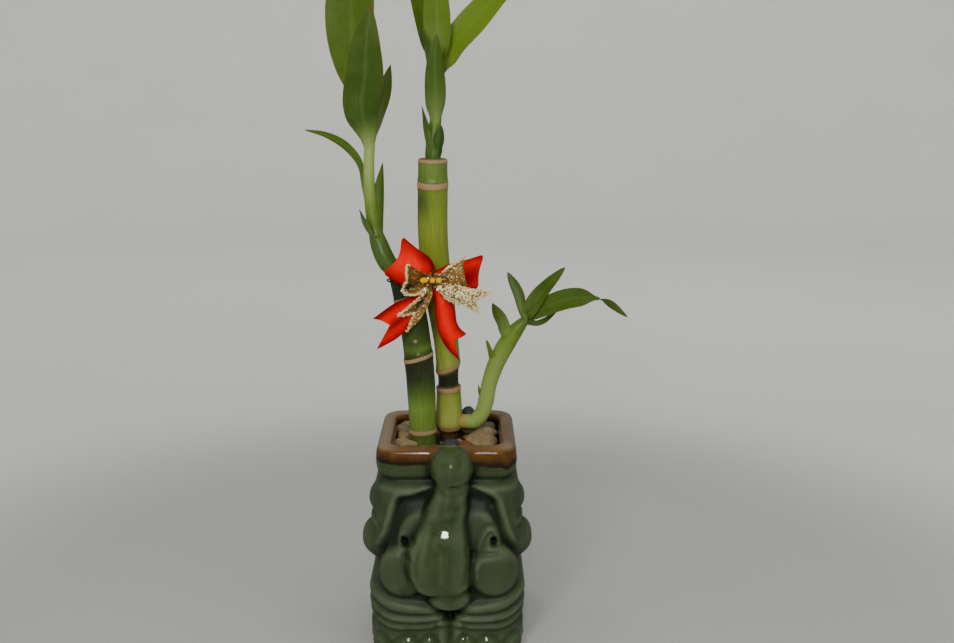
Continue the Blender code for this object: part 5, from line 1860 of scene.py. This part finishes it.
@dataclass
class Bow:
    """A ribbon bow: its loops, tails and gathered waist."""

    name: str
    node: str
    slot: Slot
    strips: tuple[Strip, ...]
    waist: Place
    waist_radii: Place
    ribbon: Flat
    rests_on: tuple[str, ...]
    thickness: float = 0.3
    rows: int = 72
    across: int = 28
    waist_grid: tuple[int, int] = (25, 60)

    def surface(self, strip: Strip) -> tuple[Array, Array]:
        """The middle surface of a strip.

        Args:
            strip: The strip.

        Returns:
            Points by row and place across, and the place across as -1 to 1.
        """
        share = np.linspace(-1, 1, self.across + 1)[None, :]
        t = np.linspace(0, 1, self.rows)[:, None]
        reach = t * (1 - strip.notch * (1 - np.abs(share)) * t**3)
        knots = np.linspace(0, 1, len(strip.first))
        edges = [smooth_values(reach.ravel(), knots, np.array(edge)) for edge in (strip.first, strip.second)]
        first, second = (edge.reshape(*reach.shape, 3) for edge in edges)
        middle = (first + second) / 2 + (second - first) / 2 * share[..., None]
        crown = np.interp(t[:, 0], *np.array(strip.crown).T)[:, None]
        profile = np.cos(2 * math.pi * strip.folds * share / 2) - math.cos(math.pi * strip.folds)
        gather = strip.pleat_depth * np.sin(math.pi * strip.pleats * share) * np.exp(-t / 0.09)
        middle[..., 1] -= crown * profile + gather
        inward = np.array(self.waist) - (first + second) / 2
        inward[..., 1] = 0.0
        pull = strip.pinch * (1 - share**2) * bell(t, 0.5, 0.16)
        pull = pull + strip.corner * share**8 * bell(t, 0.5, 0.09)
        return middle + unit(inward) * pull[..., None], np.broadcast_to(share, reach.shape)

    def strip_shell(self, strip: Strip) -> Shell:
        """A strip as a closed thin surface.

        Args:
            strip: The strip.

        Returns:
            The surface with its marks.
        """
        middle, share = self.surface(strip)
        normals = unit(np.cross(np.gradient(middle, axis=0), np.gradient(middle, axis=1)))
        thick = self.thickness / 2 * np.sqrt(np.clip(1.04 - share**6, 0, 1))[..., None]
        rings = np.concatenate([middle + normals * thick, (middle - normals * thick)[:, ::-1]], axis=1)
        shares = np.concatenate([share, share[:, ::-1]], axis=1)
        length = np.linalg.norm(np.diff(middle.mean(axis=1), axis=0), axis=1).sum()
        t = np.linspace(0, 1, self.rows)[:, None]
        # Painted shade at each of the strip's shades.
        dims = [
            amount * np.exp(-(((t - at) / long) ** 2) - ((shares - side) / wide) ** 2)
            for at, long, side, wide, amount in strip.shades
        ]
        marks = {
            "across": shares,
            "length": np.linspace(0, length, self.rows),
            "spark": np.full(self.rows, strip.spark),
            "dim": np.clip(sum(dims, np.zeros(shares.shape)), 0, 1),
        }
        return loft(rings, marks)

    def waist_shell(self) -> Shell:
        """The gathered waist: a short pleated drum.

        Returns:
            The surface with its marks.
        """
        rows, columns = self.waist_grid
        angles = np.linspace(0, math.tau, columns, endpoint=False)[None, :]
        place = np.linspace(-1, 1, rows)[:, None]
        swell = np.sqrt(np.clip(1.02 - place**2, 0, 1)) ** 0.6
        pleats = 1 + 0.08 * np.sin(7 * angles + 1.5 * place)
        x = self.waist[0] + self.waist_radii[0] * place * np.ones(angles.shape)
        y = self.waist[1] + self.waist_radii[1] * swell * pleats * np.sin(angles)
        z = self.waist[2] + self.waist_radii[2] * swell * pleats * np.cos(angles)
        # Painted shade all over the gathered waist.
        marks = {"length": 10 * place[:, 0], "spark": np.full(rows, 0.1), "dim": np.full(rows, 0.4)}
        return loft(np.stack([x, y, z], axis=2), marks)

    def edges(self) -> list[Array]:
        """The edges of all the strips, as paths.

        Returns:
            The points of each edge.
        """
        paths = []
        for strip in self.strips:
            middle = self.surface(strip)[0]
            for side, start, end in strip.trims:
                paths.append(middle[int(start * self.rows) : int(end * self.rows), int(side)])
            if strip.notch:
                paths.append(middle[-1])
        return paths

    def make(self, finish: Material, with_pieces: Sequence[Object] = ()) -> Object:
        """Makes the bow.

        Args:
            finish: The ribbon's material.
            with_pieces: Pieces sewn to the ribbon; not used.

        Returns:
            The bow.
        """
        shells = [self.strip_shell(strip) for strip in self.strips] + [self.waist_shell()]
        piece = settle(make_mesh(self.name, shells, 60.0), finish, self.slot, self.node)
        return piece


RED_BOW = Bow(
    "red_satin_bow",
    "red_bow",
    Slot.SATIN,
    (
        Strip(
            ((-5.6, -9.6, 196.6), (-8, -11.4, 201.6), (-14.9, -12, 206.8), (-22.8, -10, 212.6),
             (-15, -7.6, 205), (-9, -7.6, 198), (-6, -8.6, 193.5)),
            ((-8.6, -9.6, 187.4), (-15.5, -11.4, 186.8), (-23.4, -12, 188.4), (-32.8, -9.6, 194.4),
             (-23, -7.4, 191), (-15, -7.6, 189.5), (-8.6, -8.6, 188)),
            ((0, 0.8), (0.2, 3), (0.4, 2.4), (0.52, 0), (0.7, -0.8), (1, 0)),
            pinch=4.4,
            corner=2.4,
            shades=((0.18, 0.22, -0.95, 0.5, 0.95), (0.3, 0.3, 1, 0.35, 0.6), (0, 0.07, 0, 2, 0.6)),
        ),
        Strip(
            ((-6, -9.6, 194), (0.5, -10.6, 197.8), (8.6, -11.2, 200), (19.6, -10, 203),
             (9, -7.4, 199), (1, -7.6, 196), (-6, -8.6, 192.5)),
            ((-5.2, -9.6, 187.6), (1, -10.6, 186.2), (8.6, -11.2, 185.4), (16.6, -9.8, 185.5),
             (8, -7.4, 187), (1, -7.6, 188), (-5.2, -8.6, 188)),
            ((0, 0.5), (0.25, 1.8), (0.42, 1.4), (0.52, 0), (0.7, -0.6), (1, 0)),
            pinch=1.6,
            corner=1.8,
            shades=((0.4, 0.12, 0.1, 0.9, 0.85),),
        ),
        Strip(
            ((-8, -9.2, 188.6), (-6.4, -10, 180.7), (-5.6, -10.2, 172), (-3.9, -10, 162.7),
             (0.7, -9.6, 154.2), (7, -9.4, 148.2)),
            ((-4.6, -9.2, 188.6), (0.6, -10, 183), (3.9, -10.2, 176.5), (4.9, -10, 170),
             (6.8, -9.6, 165.4), (10.2, -9.4, 162.2)),
            ((0, 0.4), (0.3, 3.2), (0.7, 3.2), (1, 2)),
            notch=0.2,
            shades=((0.1, 0.3, 1, 0.8, 0.7), (0.6, 0.3, 1, 0.55, 0.6), (0.75, 0.28, -1, 0.55, 0.9)),
        ),
        Strip(
            ((-7.6, -9.2, 188.6), (-15.3, -10, 182.6), (-25.9, -10.2, 178.3), (-37.2, -9.6, 170.2)),
            ((-6.6, -9.2, 186), (-11, -10, 175), (-23.4, -10.2, 161.4), (-35.6, -9.6, 154)),
            ((0, 0.3), (0.4, 1), (0.75, 1.5), (1, 1.2)),
            folds=1.7,
            notch=0.22,
            shades=((0.75, 0.3, 0.05, 0.3, 0.75), (0.6, 0.35, 1, 0.4, 0.8), (0.2, 0.2, 0.4, 0.7, 0.6)),
        ),
    ),
    (-6.5, -9, 190), (3.6, 2.4, 3.8), (18, 125), ("left_cane", "right_cane"),
)
GOLD_BOW = Bow(
    "gold_glitter_bow",
    "gold_bow",
    Slot.GOLD,
    (
        Strip(
            ((-8.6, -18, 193.6), (-13.4, -20, 196.6), (-18.6, -20.4, 198.8), (-19.4, -20.8, 191),
             (-21.4, -20.8, 187), (-19.6, -20.6, 184.6), (-14, -20.2, 184.8), (-8.8, -18, 188.2)),
            ((-8, -14.6, 191.8), (-9.8, -14.4, 192.2), (-11.6, -14, 192.2), (-12.2, -13.8, 191.2),
             (-12.4, -13.8, 190.2), (-11.8, -13.8, 189.4), (-10.2, -14.2, 189.2), (-8, -14.6, 189.4)),
            ((0, 0), (1, 0)),
            pleat_depth=0.3,
            spark=0.02,
            shades=((0.54, 0.17, -0.62, 0.5, 1), (0.6, 0.12, 0.1, 0.6, 0.8), (0.5, 0.5, 1, 0.35, 0.6)),
            trims=((0, 0.26, 0.66), (0, 0.66, 0.98)),
        ),
        Strip(
            ((-4.6, -17, 193.2), (1.1, -19, 197.3), (5, -19.4, 200.2), (9.4, -18.6, 202.4),
             (6, -15.6, 198), (0.6, -15, 195), (-4.6, -15, 192)),
            ((-4.6, -17, 188.4), (1.6, -18.6, 188), (6.6, -19.2, 188.2), (10.6, -18.6, 188.6),
             (7, -15.6, 190), (1, -15, 190), (-4.6, -15, 189)),
            ((0, 0.3), (0.25, 1.1), (0.42, 0.8), (0.52, 0), (0.7, -0.5), (1, 0)),
            folds=0.8,
            pinch=1.0,
            spark=0.05,
            shades=((0.05, 0.14, 0, 1.5, 0.6), (0.4, 0.12, 0.9, 0.6, 0.35)),
            trims=((0, 0.1, 0.5), (0, 0.14, 0.48)),
        ),
        Strip(
            ((-4.4, -16.6, 189.6), (2.4, -19, 189.6), (11.6, -19.6, 187), (21.8, -19.6, 185.2)),
            ((-4.8, -16.6, 186.2), (1.6, -18, 181.2), (9.2, -17.6, 178.6), (16.4, -17.6, 174.4)),
            ((0, 0.2), (0.4, 1.4), (1, 0.6)),
            folds=0.7,
            notch=0.2,
            spark=1.0,
            trims=((0, 0.1, 1), (-1, 0.2, 1)),
        ),
        Strip(
            ((-8.6, -17, 188.4), (-12.2, -19.8, 183.6), (-17.2, -20.4, 179), (-23.8, -20.4, 173.6)),
            ((-6.4, -16.6, 187.4), (-7.4, -18.2, 181.4), (-12.6, -17.8, 171.8), (-19.6, -17.6, 165)),
            ((0, 0), (0.35, -2.4), (1, -2)),
            notch=0.3,
            spark=0.02,
            shades=((0.5, 0.3, -0.3, 0.45, 1), (0, 0.1, 0, 2, 0.4)),
            trims=((0, 0.12, 1),),
        ),
    ),
    (-6.5, -15.2, 190.4), (4.2, 2.2, 3.9), (13.5, 86), ("red_bow",),
)


@dataclass
class Edging:
    """Glittering wired edges of the gold ribbon."""

    spacing: float = 0.17
    grain: float = 0.44
    scatter: float = 0.6

    def make(self, bow: Bow) -> Object:
        """Makes the edging.

        Args:
            bow: The bow whose edges it follows.

        Returns:
            The edging.
        """
        bullion = Bullion("edge_grains", paint(255, 238, 188), paint(206, 166, 90), 0.35, 0.2).build()
        values = {"Spacing": self.spacing * MM, "Grain": self.grain * MM, "Scatter": self.scatter * MM}
        made = run_tree(grain_tree(), path_mesh(bow.edges(), {}), "gold_bow_edging", Material=bullion, **values)
        return settle(made, bullion, Slot.GOLD, bow.node)


@dataclass
class Tie:
    """The gold wire round both canes and over the waists of the bows, and the beads on its front."""

    height: float = 188.0
    wire: float = 0.4
    cane_radius: float = 7.9
    clearance: float = 0.5
    bow_x: float = -6.5
    loop_height: float = 190.4
    front: float = -18.6
    loop_half: float = 4.6
    bead_level: float = 191.4
    bead_radius: float = 1.45
    bead_gap: float = 0.3
    bar: Flat = (-6.6, 4.8)
    # Middle of each bead from the bow's middle, and half its length
    beads: tuple[Flat, ...] = ((-4.2, 2.1), (0.0, 1.35), (3.2, 1.5))

    @property
    def bar_front(self) -> float:
        """Where the bar through the beads lies, before the wire."""
        return self.front - self.wire - self.bead_gap

    def cane_middle(self, cane: Cane) -> Array:
        """Middle of a cane at the height of the wire."""
        points = np.array(cane.points, float)
        return smooth_values(np.array([self.height]), points[:, 2], points)[0]

    def round_canes(self) -> tuple[Array, float]:
        """The wire's path round both canes.

        Returns:
            The path, and how far back the wire runs behind the bows' waists.
        """
        left, right = self.cane_middle(LEFT_CANE), self.cane_middle(RIGHT_CANE)
        line = math.atan2(right[1] - left[1], right[0] - left[0])
        radius = self.cane_radius + self.clearance + self.wire
        places = []
        for middle, start in ((left, line + math.pi / 2), (right, line - math.pi / 2)):
            for angle in np.linspace(start, start + math.pi, 24):
                places.append((middle[0] + radius * math.cos(angle), middle[1] + radius * math.sin(angle), self.height))
        ahead = np.array([math.sin(line), -math.cos(line)]) * radius
        ends = [middle[:2] + ahead for middle in (left, right)]
        back = float(np.interp(self.bow_x, [e[0] for e in ends], [e[1] for e in ends]))
        return np.array(places + places[:1]), back

    def over_waists(self, back: float) -> Array:
        """The wire's path over the waists of both bows, from behind them round the front.

        Args:
            back: How far back the wire goes behind the waists.

        Returns:
            The path's points.
        """
        angles = np.linspace(0, math.tau, 49)
        middle, depth = (back + self.front) / 2, (back - self.front) / 2
        y = middle + depth * np.sign(np.cos(angles)) * np.abs(np.cos(angles)) ** 0.7
        z = self.loop_height + self.loop_half * np.sign(np.sin(angles)) * np.abs(np.sin(angles)) ** 0.7
        return np.column_stack([np.full(len(angles), self.bow_x), y, z])

    def bead(self, offset: float, half: float) -> Shell:
        """A bead threaded along X.

        Args:
            offset: Its middle from the bow's middle.
            half: Half its length.

        Returns:
            The bead's surface.
        """
        angles = np.linspace(0, math.tau, 28, endpoint=False)[None, :]
        turn = np.linspace(0.02, math.pi - 0.02, 21)[:, None]
        x = self.bow_x + offset - half * np.cos(turn) * np.ones(angles.shape)
        radius = self.bead_radius * np.sin(turn) ** 0.8
        y = self.bar_front + radius * np.sin(angles)
        return loft(np.stack([x, y, self.bead_level + radius * np.cos(angles)], axis=2))

    def make(self) -> None:
        """Makes the wire and the beads."""
        circle, back = self.round_canes()
        bar = np.array([(self.bow_x + x, self.bar_front, self.bead_level) for x in np.linspace(*self.bar, 12)])
        runs = ((circle, 12), (self.over_waists(back), 12), (bar, 10))
        shells = [sweep(path, np.full(len(path), self.wire), sides) for path, sides in runs]
        wire = Bullion("tie_gold", paint(150, 104, 34), paint(92, 54, 16), 1.0, 0.3)
        settle(make_mesh("gold_tie_wire", shells), wire.build(), Slot.WIRE, "gold_tie")
        glass = Bullion("bead_gold", paint(252, 196, 0), paint(226, 160, 0), 0.35, 0.1)
        beads = [self.bead(*bead) for bead in self.beads]
        settle(make_mesh("tie_beads", beads), glass.build(), Slot.WIRE, "gold_tie")


@dataclass(frozen=True)
class Lamp:
    """A studio lamp: where it stands, what it points at, its size, its power in watts and whether it glints.

    A lamp that doesn't glint is left out of mirror images, so that only the lamp by the lens shows in the
    glaze.
    """

    name: str
    at: Place
    target: Place
    size: Flat
    power: float
    glints: bool = False


@dataclass
class Studio:
    """A pale round cove, soft lamps and the camera at the photograph's angle."""

    cove_radius: float = 2.6
    cove_bend: float = 0.9
    cove_height: float = 3.0
    cove_steps: tuple[int, int] = (8, 24)
    cove_sides: int = 96
    lens: float = 41.5
    camera_at: Place = (0.0106, -0.5546, 0.2814)
    camera_turn: Place = (math.pi / 2 - 0.204, 0.0, -0.009)
    lamps: tuple[Lamp, ...] = (
        Lamp("key_softbox", (-0.28, -0.8, 0.66), (0.0, 0.0, 0.16), (0.26, 0.26), 4.9),
        Lamp("fill_softbox", (0.7, -0.5, 0.5), (0.0, 0.0, 0.16), (0.5, 0.5), 1.1),
        Lamp("back_softbox", (0.3, 0.9, 0.9), (0.0, 0.0, 0.16), (0.6, 0.6), 2.4),
        Lamp("lens_lamp", (-0.008, -0.56, 0.345), (0.0, 0.0, 0.15), (0.075, 0.022), 0.8, True),
    )
    # Lamps in a ring above, turned to the cove's wall: how many, ring radius, height and power of each
    wall_lamps: int = 6
    wall_ring: float = 1.1
    wall_level: float = 1.9
    wall_aim: float = 0.7
    wall_power: float = 19.0
    world_level: float = 0.16

    def cove(self) -> None:
        """The round floor that bends up into a wall, as one smooth bowl."""
        flat, bend = self.cove_steps
        profile = [((self.cove_radius - self.cove_bend) * i / flat, 0.0) for i in range(1, flat + 1)]
        for angle in (math.pi / 2 * i / bend for i in range(1, bend + 1)):
            radius = self.cove_radius - self.cove_bend * (1 - math.sin(angle))
            profile.append((radius, self.cove_bend * (1 - math.cos(angle))))
        profile.append((self.cove_radius, self.cove_height))
        count = self.cove_sides
        turns = [math.tau * j / count for j in range(count)]
        points = [(0.0, 0.0, 0.0)]
        points += [(radius * math.cos(a), radius * math.sin(a), level) for radius, level in profile for a in turns]
        faces = [(0, 1 + j, 1 + (j + 1) % count) for j in range(count)]
        for low in range(1, 1 + (len(profile) - 1) * count, count):
            high = low + count
            faces += [(low + j, high + j, high + (j + 1) % count, low + (j + 1) % count) for j in range(count)]
        mesh = bpy.data.meshes.new("studio_cove")
        mesh.from_pydata(points, [], faces)
        mesh.shade_smooth()
        made, graph = new_finish("cove_paper", Roughness=0.9)
        place = graph.place()
        paper = graph.noise(place, 6, 3)
        away = graph.vector("LENGTH", place).outputs["Value"]
        floor = graph.mix(paper, paint(158, 158, 155), paint(163, 163, 160))
        wall = graph.mix(paper, paint(196, 196, 192), paint(202, 202, 198))
        graph.dress(Base_Color=graph.mix(graph.fit(away, 0.24, 0.5), floor, wall))
        mesh.materials.append(made)
        cove = add_object("studio_cove", mesh)
        cove.visible_glossy = False

    def light(self) -> None:
        """The lamps and an even pale surrounding light."""
        lamps = list(self.lamps)
        for i in range(self.wall_lamps):
            angle = math.tau * (i + 0.5) / self.wall_lamps
            x, y = math.cos(angle), math.sin(angle)
            at = (self.wall_ring * x, self.wall_ring * y, self.wall_level)
            target = (self.cove_radius * x, self.cove_radius * y, self.wall_aim)
            lamps.append(Lamp(f"wall_lamp_{i}", at, target, (0.8, 0.8), self.wall_power))
        for lamp in lamps:
            data = bpy.data.lights.new(lamp.name, "AREA")
            data.shape = "ELLIPSE"
            data.size, data.size_y = lamp.size
            data.energy = lamp.power
            made = add_object(lamp.name, data)
            made.location = lamp.at
            way = np.array(lamp.target) - np.array(lamp.at)
            level = math.hypot(way[0], way[1])
            made.rotation_euler = (math.pi / 2 + math.atan2(way[2], level), 0.0, math.atan2(-way[0], way[1]))
            made.visible_camera = False
            made.visible_glossy = lamp.glints
        world = bpy.data.worlds.new("studio_air")
        world.use_nodes = True
        back = world.node_tree.nodes["Background"]
        back.inputs["Color"].default_value = (1.0, 1.0, 1.0, 1.0)
        back.inputs["Strength"].default_value = self.world_level
        bpy.context.scene.world = world

    def make(self) -> None:
        """Sets up the camera, the cove and the lamps."""
        data = bpy.data.cameras.new("photo_camera")
        data.lens = self.lens
        data.sensor_width = 36.0
        data.clip_start = 0.01
        camera = add_object("photo_camera", data)
        camera.location = self.camera_at
        camera.rotation_euler = self.camera_turn
        bpy.context.scene.camera = camera
        self.cove()
        self.light()


def main() -> None:
    """Builds the studio and every sub-assembly in order."""
    logging.basicConfig(level=logging.INFO, format="%(name)s: %(message)s")
    Studio().make()
    pot = ElephantPot()
    pot.make()
    PebbleBed().make(pot)
    for cane in (LEFT_CANE, RIGHT_CANE):
        cane.make()
    skin = LeafSkin().build()
    for shoot in (LEFT_SHOOT, TOP_SHOOT, SIDE_SHOOT):
        shoot.make(skin)
    RED_BOW.make(RedSatin().build())
    edging = Edging().make(GOLD_BOW)
    GOLD_BOW.make(GlitterGold().build(), [edging])
    Tie().make()


if __name__ == "__main__":
    main()
